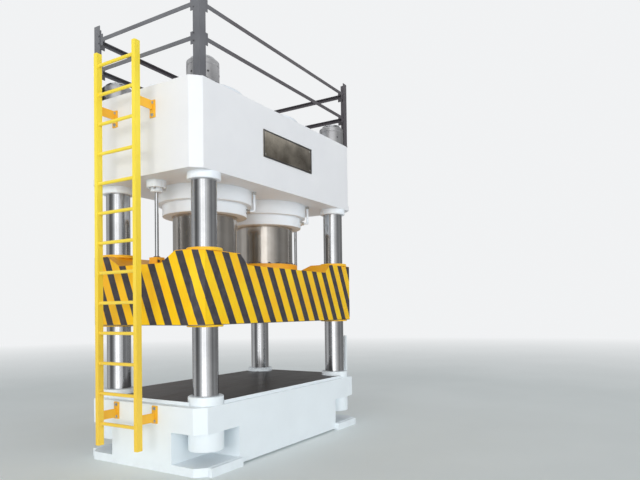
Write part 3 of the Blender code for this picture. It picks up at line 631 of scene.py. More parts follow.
def ringed(centre: Pair, radius: float, count: int, start: float = 0.0) -> list[Pair]:
    """Gives evenly spaced places on a circle.

    Args:
        centre: The circle's middle.
        radius: Its radius.
        count: Number of places.
        start: Angle of the first place from X, in radians.

    Returns:
        The places, in order.
    """
    x, y = centre
    angles = [start + math.tau * index / count for index in range(count)]
    return [(x + radius * math.cos(angle), y + radius * math.sin(angle)) for angle in angles]


def spun(
    outline: Sequence[Point], centre: Point, axis: Point, steps: int, closed: bool = True
) -> bmesh.types.BMesh:
    """Turns an outline once round an axis.

    Args:
        outline: The corners of the outline, in order.
        centre: A place on the axis.
        axis: The axis's direction.
        steps: Sides of the round.
        closed: Whether the last corner joins the first.

    Returns:
        The new part.
    """
    part = bmesh.new()
    corners = [part.verts.new(place) for place in outline]
    pairs = list(zip(corners, corners[1:]))
    if closed:
        pairs.append((corners[-1], corners[0]))
    geom = corners + [part.edges.new(pair) for pair in pairs]
    bmesh.ops.spin(
        part, geom=geom, cent=centre, axis=axis, angle=math.tau, steps=steps,
        use_merge=True, use_duplicate=False,
    )
    return part


class Form:
    """One mesh in the making."""

    def __init__(self) -> None:
        """Starts an empty mesh."""
        self.bm = bmesh.new()

    def _join(self, part: bmesh.types.BMesh, material: int) -> None:
        """Moves a finished part into the mesh, with its faces turned outward.

        Args:
            part: The part, which is used up.
            material: Material number of its faces.
        """
        bmesh.ops.recalc_face_normals(part, faces=part.faces)
        for face in part.faces:
            face.material_index = material
        mesh = meshed("part", part)
        self.bm.from_mesh(mesh)
        bpy.data.meshes.remove(mesh)

    def turned(self, profile: Profile, centre: Pair, steps: int = ROUND_STEPS, material: int = 0) -> None:
        """Turns a closed outline, or one that starts and ends on the axis, about an upright axis.

        Args:
            profile: Radius and height of each corner, in order.
            centre: The axis's place on the plan.
            steps: Sides of the round.
            material: Material number of its faces.
        """
        x, y = centre
        outline = [(x + radius, y, z) for radius, z in profile]
        solid = profile[0][0] == 0 and profile[-1][0] == 0
        part = spun(outline, (x, y, 0), UP, steps, not solid)
        bmesh.ops.remove_doubles(part, verts=part.verts, dist=1e-6)
        self._join(part, material)

    def collar(self, profile: Profile, centre: Pair, steps: int = 16) -> None:
        """Turns a closed outline about an axis along Y.

        Args:
            profile: Radius and place along Y of each corner, in order.
            centre: The axis's place along X and Z.
            steps: Sides of the round.
        """
        x, z = centre
        self._join(spun([(x + radius, y, z) for radius, y in profile], (x, 0, z), (0, 1, 0), steps), 0)

    def box(self, low: Point, high: Point, edge: float, material: int = 0) -> None:
        """Adds a box with its edges rounded over a short width.

        Args:
            low: Its lowest corner.
            high: Its highest corner.
            edge: Width of the rounded edges.
            material: Material number of its faces.
        """
        part = bmesh.new()
        bmesh.ops.create_cube(part, size=1.0)
        bmesh.ops.scale(part, vec=Vector(high) - Vector(low), verts=part.verts)
        bmesh.ops.translate(part, vec=(Vector(high) + Vector(low)) / 2, verts=part.verts)
        edges = list(part.edges)
        bmesh.ops.bevel(part, geom=edges, offset=edge, segments=2, profile=0.5, affect="EDGES", material=-1)
        self._join(part, material)

    def rod(
        self, start: Point, end: Point, radius: float, sides: int = SMALL_ROUND_STEPS, tip: float = 1.0,
        material: int = 0,
    ) -> None:
        """Adds a round bar between two points.

        Args:
            start: Middle of its first end.
            end: Middle of its other end.
            radius: Radius at the start.
            sides: Sides of the round.
            tip: End radius as a share of the start radius.
            material: Material number of its faces.
        """
        part = bmesh.new()
        run = Vector(end) - Vector(start)
        bmesh.ops.create_cone(
            part, cap_ends=True, segments=sides, radius1=radius, radius2=radius * tip, depth=run.length
        )
        turn = Vector(UP).rotation_difference(run.normalized()).to_matrix().to_4x4()
        middle = Matrix.Translation((Vector(start) + Vector(end)) / 2)
        bmesh.ops.transform(part, matrix=middle @ turn, verts=part.verts)
        self._join(part, material)

    def bolt(self, seat: Point, normal: Point, across: float, height: float, material: int = 0) -> None:
        """Adds a hexagon head with its washer and chamfered top.

        Args:
            seat: The middle of the washer's underside.
            normal: Direction away from the surface.
            across: Width over the hexagon's corners.
            height: Height of the head and washer.
            material: Material number of its faces.
        """
        base = Vector(seat)
        out = Vector(normal).normalized()
        washer = base + out * height * 0.16
        shoulder = base + out * height * 0.84
        radius = across * 0.5
        self.rod(base, washer, across * 0.66, SMALL_ROUND_STEPS, 0.97, material)
        self.rod(washer, shoulder, radius, HEXAGON, 1.0, material)
        self.rod(shoulder, base + out * height, radius, HEXAGON, 0.86, material)

    def bead(self, start: Point, end: Point, radius: float) -> None:
        """Adds a weld bead: a thin bar with the ripples of its passes.

        Args:
            start: Middle of its first end.
            end: Middle of its other end.
            radius: Radius of the bar.
        """
        part = bmesh.new()
        run = Vector(end) - Vector(start)
        count = max(3, int(run.length / (radius * 1.6)))
        sides = 8
        turn = Vector(UP).rotation_difference(run.normalized())
        rings: list[list[bmesh.types.BMVert]] = []
        for index in range(2 * count + 1):
            swell = radius * (1.0 if index % 2 else 0.82)
            middle = Vector(start) + run * index / (2 * count)
            ring = []
            for side in range(sides):
                angle = math.tau * side / sides
                offset = turn @ Vector((swell * math.cos(angle), swell * math.sin(angle), 0))
                ring.append(part.verts.new(middle + offset))
            rings.append(ring)
        for first, second in zip(rings, rings[1:]):
            for side in range(sides):
                after = (side + 1) % sides
                part.faces.new((first[side], first[after], second[after], second[side]))
        part.faces.new(list(reversed(rings[0])))
        part.faces.new(rings[-1])
        self._join(part, 0)

    def copy_of(self, node: str) -> None:
        """Adds a CAD node's mesh with its loose triangles merged."""
        self.bm.from_mesh(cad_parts[node].data)
        bmesh.ops.remove_doubles(self.bm, verts=self.bm.verts, dist=1e-5)

    def piece(
        self, name: str, body: Body, finishes: Sequence[Finish], replaces: Sequence[str] = ()
    ) -> bpy.types.Object:
        """Makes the object, with smooth faces between its sharp edges.

        Args:
            name: The piece's name.
            body: The body it rides on.
            finishes: Its finishes, in the order of the material numbers.
            replaces: CAD nodes that it stands for.

        Returns:
            The new object.
        """
        for face in self.bm.faces:
            face.smooth = True
        for edge in self.bm.edges:
            edge.smooth = len(edge.link_faces) == 2 and edge.calc_face_angle(math.pi) < SHARP_ANGLE
        mesh = meshed(name, self.bm)
        for finish in finishes:
            mesh.materials.append(material_of(finish))
        made = placed(name, mesh)
        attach(made, body.value)
        if replaces:
            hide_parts(*replaces)
        LOG.info("%s: %d faces", name, len(mesh.polygons))
        return made

    def stand_in(
        self, node: str, ending: str, finishes: Sequence[Finish], body: Body = Body.FRAME
    ) -> bpy.types.Object:
        """Makes the object in the place of one CAD node, and names it after the node."""
        return self.piece(f"{node}_{ending}", body, finishes, [node])


# Repeated pieces


@dataclass(frozen=True)
class Bolts:
    """Bolts set evenly on a circle of a turned piece, in its second material."""

    radius: float
    z: float
    count: int
    size: float
    height: float
    finish: Finish = Finish.BOLT
    normal: Point = UP

    def add_to(self, form: Form, centre: Pair) -> None:
        """Adds them, the first half a step round."""
        for x, y in ringed(centre, self.radius, self.count, math.tau / (2 * self.count)):
            form.bolt((x, y, self.z), self.normal, self.size, self.height, 1)


class Screws(Bolts):
    """Small upright screw heads in the place of the bolts."""

    def add_to(self, form: Form, centre: Pair) -> None:
        """Adds them, the first half a step round."""
        for x, y in ringed(centre, self.radius, self.count, math.tau / (2 * self.count)):
            form.rod((x, y, self.z), (x, y, self.z + self.height), self.size, 16, 0.9, 1)


class Plugs(Bolts):
    """Round plugs that stand out of the turned face in the place of the bolts."""

    def add_to(self, form: Form, centre: Pair) -> None:
        """Adds them, the first at the right.

        Args:
            form: The mesh of the turned piece.
            centre: Its axis's place on the plan.
        """
        for x, y in ringed(centre, self.radius, self.count):
            out = Vector((x - centre[0], y - centre[1], 0)).normalized()
            spot = Vector((x, y, self.z))
            form.rod(spot, spot + out * self.height, self.size, SCREW_STEPS, 1.0, 1)


class Part(Protocol):
    """A piece that can be built at any corner or side."""

    def build(self, place: str, centre: Pair) -> None:
        """Builds the piece there."""


@dataclass(frozen=True)
class Turning:
    """A piece turned from one outline.

    Attributes:
        node: Its CAD node's name, without the corner or side.
        finish: Its finish.
        slot: Name of the slot that its finish stands for; not used.
        profile: Radius and height of each corner.
        steps: Sides of the round.
        ending: End of its name, or empty if it stands for no CAD node.
        body: The body it rides on.
        bolts: Bolts, screws or plugs on it.
    """

    node: str
    finish: Finish
    slot: str
    profile: Profile
    steps: int = ROUND_STEPS
    ending: str = "turned"
    body: Body = Body.FRAME
    bolts: Optional[Bolts] = None

    def build(self, place: str, centre: Pair) -> None:
        """Builds the piece at one corner or side.

        Args:
            place: Name of the corner or side.
            centre: Its axis's place on the plan.
        """
        form = Form()
        form.turned(self.profile, centre, self.steps)
        finishes = [self.finish]
        if self.bolts is not None:
            self.bolts.add_to(form, centre)
            finishes.append(self.bolts.finish)
        name = f"{self.node}_{place}"
        if self.ending:
            form.stand_in(name, self.ending, finishes, self.body)
        else:
            form.piece(name, self.body, finishes)


@dataclass(frozen=True)
class LeakPipe:
    """The leak-off pipe from a gland ring's side up to the crown's underside."""

    radius: float = 0.013
    bend: float = 0.012
    bend_steps: int = 6
    toward: Point = (0.52, -0.854, 0)

    def build(self, place: str, centre: Pair) -> None:
        """Builds the pipe on one side.

        Args:
            place: Name of the side.
            centre: The gland ring's place on the plan.
        """
        form = Form()
        up, out = Vector(UP), Vector(self.toward).normalized()
        seat = Vector((*centre, 2.665)) + out * 0.469
        elbow = seat + out * 0.092
        form.rod(seat, seat + out * 0.014, 0.030, SMALL_ROUND_STEPS, 1.0, 1)
        form.rod(seat + out * 0.014, seat + out * 0.044, 0.023, HEXAGON, 1.0, 1)
        form.rod(seat + out * 0.044, elbow - out * self.bend, self.radius)
        self._bend(form, elbow, out)
        form.rod(elbow + up * self.bend, elbow + up * 0.190, self.radius)
        form.rod(elbow + up * 0.190, elbow + up * 0.2185, 0.024, HEXAGON, 1.0, 1)
        form.piece(f"leak_pipe_{place}", Body.FRAME, [Finish.BRIGHTENED_WHITE, Finish.ZINC])

    def _bend(self, form: Form, corner: Vector, out: Vector) -> None:
        """Adds the quarter bend from level to upright.

        Args:
            form: The pipe's mesh.
            corner: Where its two straight runs would meet.
            out: Direction of the level run.
        """
        pivot = corner - out * self.bend + Vector((0, 0, self.bend))
        places = []
        for index in range(self.bend_steps + 1):
            angle = math.pi / 2 * index / self.bend_steps
            down = Vector((0, 0, self.bend * math.cos(angle)))
            places.append(pivot + out * self.bend * math.sin(angle) - down)
        for first, second in zip(places, places[1:]):
            form.rod(first, second, self.radius)


@dataclass(frozen=True)
class RodAnchor:
    """The block that holds a return rod on the slide, with its collar and bolts."""

    half: float = 0.055
    foot: float = 2.0083
    top: float = 2.0965
    collar: Profile = ((0.0205, 2.096), (0.034, 2.096), (0.034, 2.104), (0.031, 2.107), (0.0205, 2.107))

    def build(self, place: str, centre: Pair) -> None:
        """Builds the anchor on one side.

        Args:
            place: Name of the side.
            centre: The return rod's place on the plan.
        """
        x, half = centre[0], self.half
        form = Form()
        form.box((x - half, -half, self.foot), (x + half, half, self.top), 0.004)
        form.turned(self.collar, centre, SLIM_ROUND_STEPS, 1)
        for dy in (-half, half):
            for dx in (-0.030, 0.030):
                form.bolt((x + dx, dy, 2.055), (0, math.copysign(1.0, dy), 0), 0.024, 0.012, 1)
        finishes = [Finish.AMBER, Finish.BOLT]
        form.stand_in(f"rod_anchor_{place}", "plate", finishes, Body.SLIDE)


# Sub-assemblies


@dataclass(frozen=True)
class Repeated:
    """Pieces that are built again at each of several places."""

    centres: Centres
    parts: tuple[Part, ...]

    def build(self) -> None:
        """Builds every piece at every place."""
        for place, centre in self.centres:
            for part in self.parts:
                part.build(place, centre)


@dataclass(frozen=True)
class Columns(Repeated):
    """The four tie columns, each with a hole for a lifting eye in its top, and their nuts and collars."""

    centres: Centres = COLUMN_CENTRES
    parts: tuple[Part, ...] = (
        Turning("column", Finish.CHROME, "column_chrome", (
            (0, 0.217), (0.115, 0.217), (0.125, 0.227), (0.125, 3.998), (0.113, 4.010), (0.030, 4.010),
            (0.026, 4.006), (0.026, 3.960), (0, 3.954),
        ), WIDE_ROUND_STEPS, "ground"),
        Turning("lower_nut", Finish.WHITE, "white_paint", (
            (0.1253, 0.205), (0.162, 0.205), (0.169, 0.208), (0.172, 0.215), (0.172, 0.3877),
            (0.170, 0.3897), (0.1253, 0.3897),
        )),
        Turning("bed_collar", Finish.WHITE, "white_paint", (
            (0.1253, 0.6403), (0.172, 0.6403), (0.172, 0.712), (0.169, 0.720), (0.162, 0.724),
            (0.1293, 0.724), (0.1253, 0.720),
        )),
        Turning("crown_collar", Finish.BRIGHTENED_WHITE, "white_paint", (
            (0.1253, 2.815), (0.1283, 2.812), (0.154, 2.812), (0.161, 2.815), (0.164, 2.822),
            (0.164, 2.8837), (0.1253, 2.8837),
        )),
        Turning("top_nut", Finish.STEEL, "nut_steel", (
            (0.1253, 3.7603), (0.160, 3.7603), (0.160, 3.9063), (0.155, 3.9103), (0.155, 3.9183),
            (0.160, 3.9223), (0.160, 3.963), (0.148, 3.975), (0.1283, 3.975), (0.1253, 3.972),
        ), bolts=Plugs(0.1585, 3.8353, 6, 0.0105, 0.003)),
    )


@dataclass(frozen=True)
class MainCylinders(Repeated):
    """The two main cylinders with their glands, rings and fill valves."""

    centres: Centres = RAM_CENTRES
    parts: tuple[Part, ...] = (
        Turning("main_barrel", Finish.BRIGHTENED_WHITE, "white_paint", (
            (0.372, 2.930), (0.4023, 2.9262), (0.4023, 2.721), (0.517, 2.721), (0.526, 2.725),
            (0.529, 2.733), (0.529, 2.8837), (0.450, 2.8837), (0.450, 3.977), (0.442, 3.985),
            (0.110, 3.985), (0.110, 3.880), (0.372, 3.880),
        ), WIDE_ROUND_STEPS),
        Turning("gland_ring", Finish.BRIGHTENED_WHITE, "white_paint", (
            (0.361, 2.5987), (0.365, 2.5947), (0.462, 2.5947), (0.468, 2.5967), (0.470, 2.6027),
            (0.470, 2.7207), (0.361, 2.7207),
        ), WIDE_ROUND_STEPS),
        LeakPipe(),
        Turning("packing", Finish.PACKING, "packing_rubber", (
            (0.3585, 2.721), (0.402, 2.721), (0.402, 2.796), (0.3585, 2.796),
        ), ending="moulded"),
        Turning("guide_bush", Finish.BRONZE, "bush_bronze", (
            (0.3585, 2.7963), (0.402, 2.7963), (0.402, 2.926), (0.3585, 2.926),
        )),
        Turning("ring_nut", Finish.WHITE, "white_paint", (
            (0.4503, 3.7603), (0.530, 3.7603), (0.530, 3.8503), (0.520, 3.8603), (0.4533, 3.8603),
            (0.4503, 3.8573),
        ), WIDE_ROUND_STEPS, bolts=Plugs(0.529, 3.8103, 12, 0.014, 0.002)),
        Turning("fill_valve", Finish.STEEL, "nut_steel", (
            (0, 3.9853), (0.162, 3.9853), (0.165, 3.988), (0.165, 4.0163), (0.161, 4.0203), (0.133, 4.0203),
            (0.126, 4.026), (0.125, 4.034), (0.125, 4.066), (0.131, 4.070), (0.131, 4.090), (0.125, 4.0955),
            (0.095, 4.0955), (0.090, 4.088), (0, 4.088),
        ), bolts=Bolts(0.149, 4.0198, 12, 0.020, 0.013, Finish.ZINC)),
    )


@dataclass(frozen=True)
class Rams(Repeated):
    """The two main rams and the rings that hold them on the slide."""

    centres: Centres = RAM_CENTRES
    parts: tuple[Part, ...] = (
        Turning("ram", Finish.RAM, "column_chrome", (
            (0, 2.0083), (0.352, 2.0083), (0.358, 2.0143), (0.358, 3.450), (0.348, 3.460), (0, 3.460),
        ), RAM_STEPS, "ground", Body.SLIDE),
        Turning("ram_ring", Finish.AMBER, "yellow_paint", (
            (0.3583, 2.0083), (0.417, 2.0083), (0.417, 2.116), (0.411, 2.122), (0.362, 2.122),
            (0.3583, 2.118),
        ), WIDE_ROUND_STEPS, body=Body.SLIDE, bolts=Bolts(0.389, 2.1215, 20, 0.030, 0.017)),
    )


@dataclass(frozen=True)
class ReturnCylinders(Repeated):
    """The two slim return cylinders, with their caps, rods and anchors."""

    centres: Centres = RETURN_CENTRES
    parts: tuple[Part, ...] = (
        Turning("return_cap", Finish.BRIGHTENED_WHITE, "white_paint", (
            (0, 3.8405), (0.049, 3.8405), (0.049, 3.863), (0, 3.863),
        ), SLIM_ROUND_STEPS, ""),
        Turning("return_barrel", Finish.BRIGHTENED_WHITE, "white_paint", (
            (0.0203, 2.770), (0.024, 2.7657), (0.055, 2.7657), (0.060, 2.771), (0.060, 2.8077),
            (0.096, 2.8077), (0.100, 2.812), (0.100, 2.8837), (0.070, 2.8837), (0.070, 3.859),
            (0.064, 3.865), (0.050, 3.865), (0.050, 2.830), (0.0203, 2.830),
        ), BARREL_STEPS, bolts=Bolts(0.079, 2.8082, 6, 0.026, 0.018, Finish.ZINC, DOWN)),
        Turning("return_rod", Finish.CHROME, "column_chrome", (
            (0, 2.0703), (0.020, 2.0703), (0.020, 3.370), (0.047, 3.370), (0.0495, 3.3725),
            (0.0495, 3.4275), (0.047, 3.430), (0, 3.430),
        ), SLIM_ROUND_STEPS, "ground", Body.SLIDE),
        RodAnchor(),
    )


@dataclass(frozen=True)
class Bushes(Repeated):
    """The upper and lower guide bush at each column."""

    centres: Centres = COLUMN_CENTRES
    parts: tuple[Part, ...] = (
        Turning("upper_bush", Finish.GOLD, "yellow_paint", (
            (0.1255, 1.880), (0.150, 1.880), (0.150, 2.1203), (0.176, 2.1203), (0.176, 2.144),
            (0.170, 2.150), (0.1375, 2.150), (0.1355, 2.146), (0.1255, 2.146),
        ), body=Body.SLIDE, bolts=Screws(0.160, 2.1495, 8, 0.007, 0.0005)),
        Turning("lower_bush", Finish.GOLD, "yellow_paint", (
            (0.1255, 1.387), (0.170, 1.387), (0.176, 1.393), (0.176, 1.4047), (0.150, 1.4047),
            (0.150, 1.645), (0.1255, 1.645),
        ), body=Body.SLIDE),
    )


@dataclass(frozen=True)
class FaceStripes:
    """How the stripes run over one upright face of the slide.

    Attributes:
        lean: Metres that a stripe moves along the face per metre of height.
        pitch: Metres from one stripe to the next.
        start: Metres that the count is shifted by.
        first: Number that is added to the count.
    """

    lean: float
    pitch: float
    start: float
    first: float = 0.0

    def number(self, along: float, rise: float) -> float:
        """Gives the stripe number at a place along the face and a height over its foot."""
        return (along + self.lean * rise + self.start) / self.pitch + self.first


@dataclass
class Slide:
    """The striped slide with its guide bushes; a face is upright if its normal rises less than upright."""

    half_x: float = 1.51
    cut_x: float = 1.411
    cut_y: float = 0.681
    bottom: float = 1.405
    middle: float = 1.76
    upright: float = 0.35
    bore_radius: float = 0.155
    left: FaceStripes = FaceStripes(0.395, 0.209, -0.088)
    front: FaceStripes = FaceStripes(0.475, 0.2264, 1.352, 4.0)
    right: FaceStripes = FaceStripes(0.395, 0.209, 0.691, 17.0)
    back: FaceStripes = FaceStripes(0.475, 0.2264, 1.439, 24.4)

    def build(self) -> None:
        """Builds the slide's body and its eight bushes."""
        self._body()
        Bushes().build()

    def _long_face(self, x: float, z: float, toward: float) -> float:
        """Gives the stripe number on the front face, or on the back face if toward isn't negative."""
        rise = z - self.bottom
        return self.front.number(x, rise) if toward < 0 else self.back.number(-x, rise)

    def _end_face(self, y: float, z: float, toward: float) -> float:
        """Gives the stripe number on the left face, or on the right face if toward isn't negative."""
        rise = z - self.bottom
        return self.left.number(-y, rise) if toward < 0 else self.right.number(y, rise)

    def _stripe(self, place: Vector, normal: Vector) -> float:
        """Gives the stripe number of a point on a face, blended over the cut corners.

        Args:
            place: The point.
            normal: The face's normal.

        Returns:
            The stripe number, which is whole in the middle of a yellow stripe.
        """
        x, y, z = place
        if abs(normal.x) > FLAT_FACE:
            return self._end_face(y, z, normal.x)
        if normal.z > self.upright or abs(normal.y) > FLAT_FACE:
            return self._long_face(x, z, normal.y)
        share = (abs(x) - self.cut_x) / (self.half_x - self.cut_x)
        share = min(1.0, max(0.0, share))
        edge_x = math.copysign(self.cut_x, x)
        edge_y = math.copysign(self.cut_y, y)
        long_face = self._long_face(edge_x, z, y)
        end_face = self._end_face(edge_y, z, x)
        if x < 0 and y > 0:
            step = self._long_face(edge_x, self.middle, y) - self._end_face(edge_y, self.middle, x)
            end_face += math.ceil(step + 0.3)
        return long_face + (end_face - long_face) * share

    def _body(self) -> None:
        """Builds the slide's body from the CAD mesh, with the stripe layer on its upright faces."""
        form = Form()
        form.copy_of("slide")
        layer = form.bm.loops.layers.uv.new(Stripes.layer)
        for face in form.bm.faces:
            striped = abs(face.normal.z) < self.upright and not self._in_bore(face)
            face.material_index = 0 if striped else (1 if face.normal.z > 0 else 2)
            for loop in face.loops:
                place = loop.vert.co
                loop[layer].uv = (self._stripe(place, face.normal), place.z)
        finishes = [Finish.STRIPE, Finish.AMBER, Finish.UNDER]
        form.stand_in("slide", "painted", finishes, Body.SLIDE)

    def _in_bore(self, face: bmesh.types.BMFace) -> bool:
        """Tells whether a face is in one of the bores for the bushes."""
        middle = face.calc_center_median()
        return math.hypot(abs(middle.x) - COLUMN_X, abs(middle.y) - COLUMN_Y) < self.bore_radius


@dataclass
class Bed:
    """The bed, its table and the welds and small parts on them."""

    screw_top: float = 0.6752
    weld_y: float = 0.803
    weld_z: float = 0.086

    def build(self) -> None:
        """Dresses the bed and the table and adds the table's screws and the toes' welds."""
        dressed("bed", Finish.WHITE)
        self._table()
        self._screws()
        self._welds()

    def _table(self) -> None:
        """Builds the table, planed above and below and painted at its edges."""
        plate = Form()
        plate.copy_of("table_plate")
        for face in plate.bm.faces:
            face.material_index = 0 if abs(face.normal.z) > FLAT_FACE else 1
        finishes = [Finish.TABLE, Finish.WHITE]
        plate.piece("table_planed", Body.FRAME, finishes, ["table_plate"])

    def _screws(self) -> None:
        """Builds the sunk heads of the table's screws."""
        top = self.screw_top
        profile = [
            (0, 0.6735), (0.017, 0.6735), (0.017, 0.6742), (0.0155, top), (0.009, top), (0.009, 0.6745),
            (0, 0.6745),
        ]
        screws = Form()
        for x in (-0.90, -0.30, 0.30, 0.90):
            for y in (-0.72, 0.72):
                screws.turned(profile, (x, y), SMALL_ROUND_STEPS)
        screws.piece("table_screws", Body.FRAME, [Finish.BOLT])

    def _welds(self) -> None:
        """Builds the weld beads over the bed's toes."""
        beads = Form()
        for side_x in (-1, 1):
            for side_y in (-1, 1):
                y, z = side_y * self.weld_y, self.weld_z
                beads.bead((side_x * 0.965, y, z), (side_x * 1.41, y, z), 0.005)
        beads.piece("toe_welds", Body.FRAME, [Finish.WHITE])


@dataclass
class Crown:
    """The crown with its nameplate."""

    plate_half: float = 0.4825
    plate_bottom: float = 3.20
    plate_top: float = 3.50
    plate_face: float = -0.7853
    rim: float = 0.014
    screw_inset: float = 0.035

    def build(self) -> None:
        """Dresses the crown and builds the bare nameplate with its frame and screws."""
        dressed("crown", Finish.WHITE)
        x, low, high, face = self.plate_half, self.plate_bottom, self.plate_top, self.plate_face
        rim, inset, back = self.rim, self.screw_inset, face + 0.004
        form = Form()
        form.box((-x, face + 0.003, low), (x, -0.7753, high), 0.0008)
        form.box((-x, face, low), (x, back, low + rim), 0.001, 1)
        form.box((-x, face, high - rim), (x, back, high), 0.001, 1)
        form.box((-x, face, low), (-x + rim, back, high), 0.001, 1)
        form.box((x - rim, face, low), (x, back, high), 0.001, 1)
        for screw_x in (-x + inset, x - inset):
            for z in (low + inset, high - inset):
                form.rod((screw_x, back, z), (screw_x, face + 0.0005, z), 0.009, SCREW_STEPS, 0.8, 2)
        finishes = [Finish.PLATE, Finish.BOLT, Finish.ZINC]
        form.stand_in("nameplate", "bare", finishes)


@dataclass
class Ladder:
    """The fixed ladder with its bracket bolts and rung welds."""

    x: float = 1.72
    wall_x: float = -1.5222
    inner_x: float = -1.688
    stiles: Pair = (-0.21, 0.34)
    bracket_heights: Pair = (3.520, 0.545)
    first_rung: float = 0.449
    pitch: float = 0.2955
    rungs: int = 13

    def build(self) -> None:
        """Dresses the ladder and adds its welds and bolts."""
        self._steel()
        self._welds()
        self._bolts()

    def _steel(self) -> None:
        """Builds the ladder, with its brackets in a deeper yellow, and keeps it out of the chrome."""
        form = Form()
        form.copy_of("ladder")
        for face in form.bm.faces:
            face.material_index = 1 if face.calc_center_median().x > self.inner_x else 0
        finishes = [Finish.LADDER, Finish.BRACKET]
        made = form.stand_in("ladder", "painted", finishes)
        made.visible_glossy = False

    def _welds(self) -> None:
        """Builds the weld round each end of each rung."""
        welds = Form()
        for index in range(self.rungs):
            z = self.first_rung + index * self.pitch
            for y, inward in zip(self.stiles, (1, -1)):
                edge = y + inward * 0.0225
                profile = [
                    (0.017, edge - 0.001 * inward), (0.0215, edge), (0.0205, edge + 0.003 * inward),
                    (0.0172, edge + 0.006 * inward),
                ]
                welds.collar(profile, (-self.x, z))
        welds.piece("ladder_rung_welds", Body.FRAME, [Finish.LADDER])

    def _bolts(self) -> None:
        """Builds the bolts that hold the brackets."""
        bolts = Form()
        for y in self.stiles:
            for middle in self.bracket_heights:
                for dz in (-0.060, 0.060):
                    bolts.bolt((self.wall_x, y, middle + dz), (-1, 0, 0), 0.026, 0.014)
        bolts.piece("ladder_bracket_bolts", Body.FRAME, [Finish.ZINC])


@dataclass
class GuardRails:
    """The guard rails on the crown, with their foot and tab bolts."""

    foot: Point = (1.428, 0.752, 3.7722)
    foot_bolts: tuple[Pair, ...] = ((0.030, 0.030), (0.110, 0.016), (0.016, 0.100))
    tab: Pair = (1.4400, 0.687)
    tab_heights: Pair = (4.465, 4.140)

    def build(self) -> None:
        """Dresses the rails and adds their bolts."""
        dressed("guard_left", Finish.GREY)
        dressed("guard_right", Finish.GREY)
        bolts = Form()
        x, y, z = self.foot
        for side_x, side_y in CORNERS.values():
            for dx, dy in self.foot_bolts:
                bolts.bolt((side_x * (x - dx), side_y * (y - dy), z), UP, 0.020, 0.012)
            for height in self.tab_heights:
                for dz in (-0.038, 0.038):
                    seat = (side_x * self.tab[0], side_y * self.tab[1], height + dz)
                    bolts.bolt(seat, (side_x, 0, 0), 0.014, 0.004)
        bolts.piece("guard_bolts", Body.FRAME, [Finish.BOLT])


@dataclass
class LimitPost:
    """The slim post beside the bed that carries the slide's limit switches."""

    screw_x: float = 1.553
    screw_heights: Pair = (0.46, 0.58)

    def build(self) -> None:
        """Dresses the post and adds the screws of its pad."""
        dressed("limit_post", Finish.WHITE)
        screws = Form()
        for z in self.screw_heights:
            screws.rod((self.screw_x, -0.605, z), (self.screw_x, -0.6035, z), 0.007, 12, 0.9)
        screws.piece("limit_post_screws", Body.FRAME, [Finish.ZINC])


# Studio


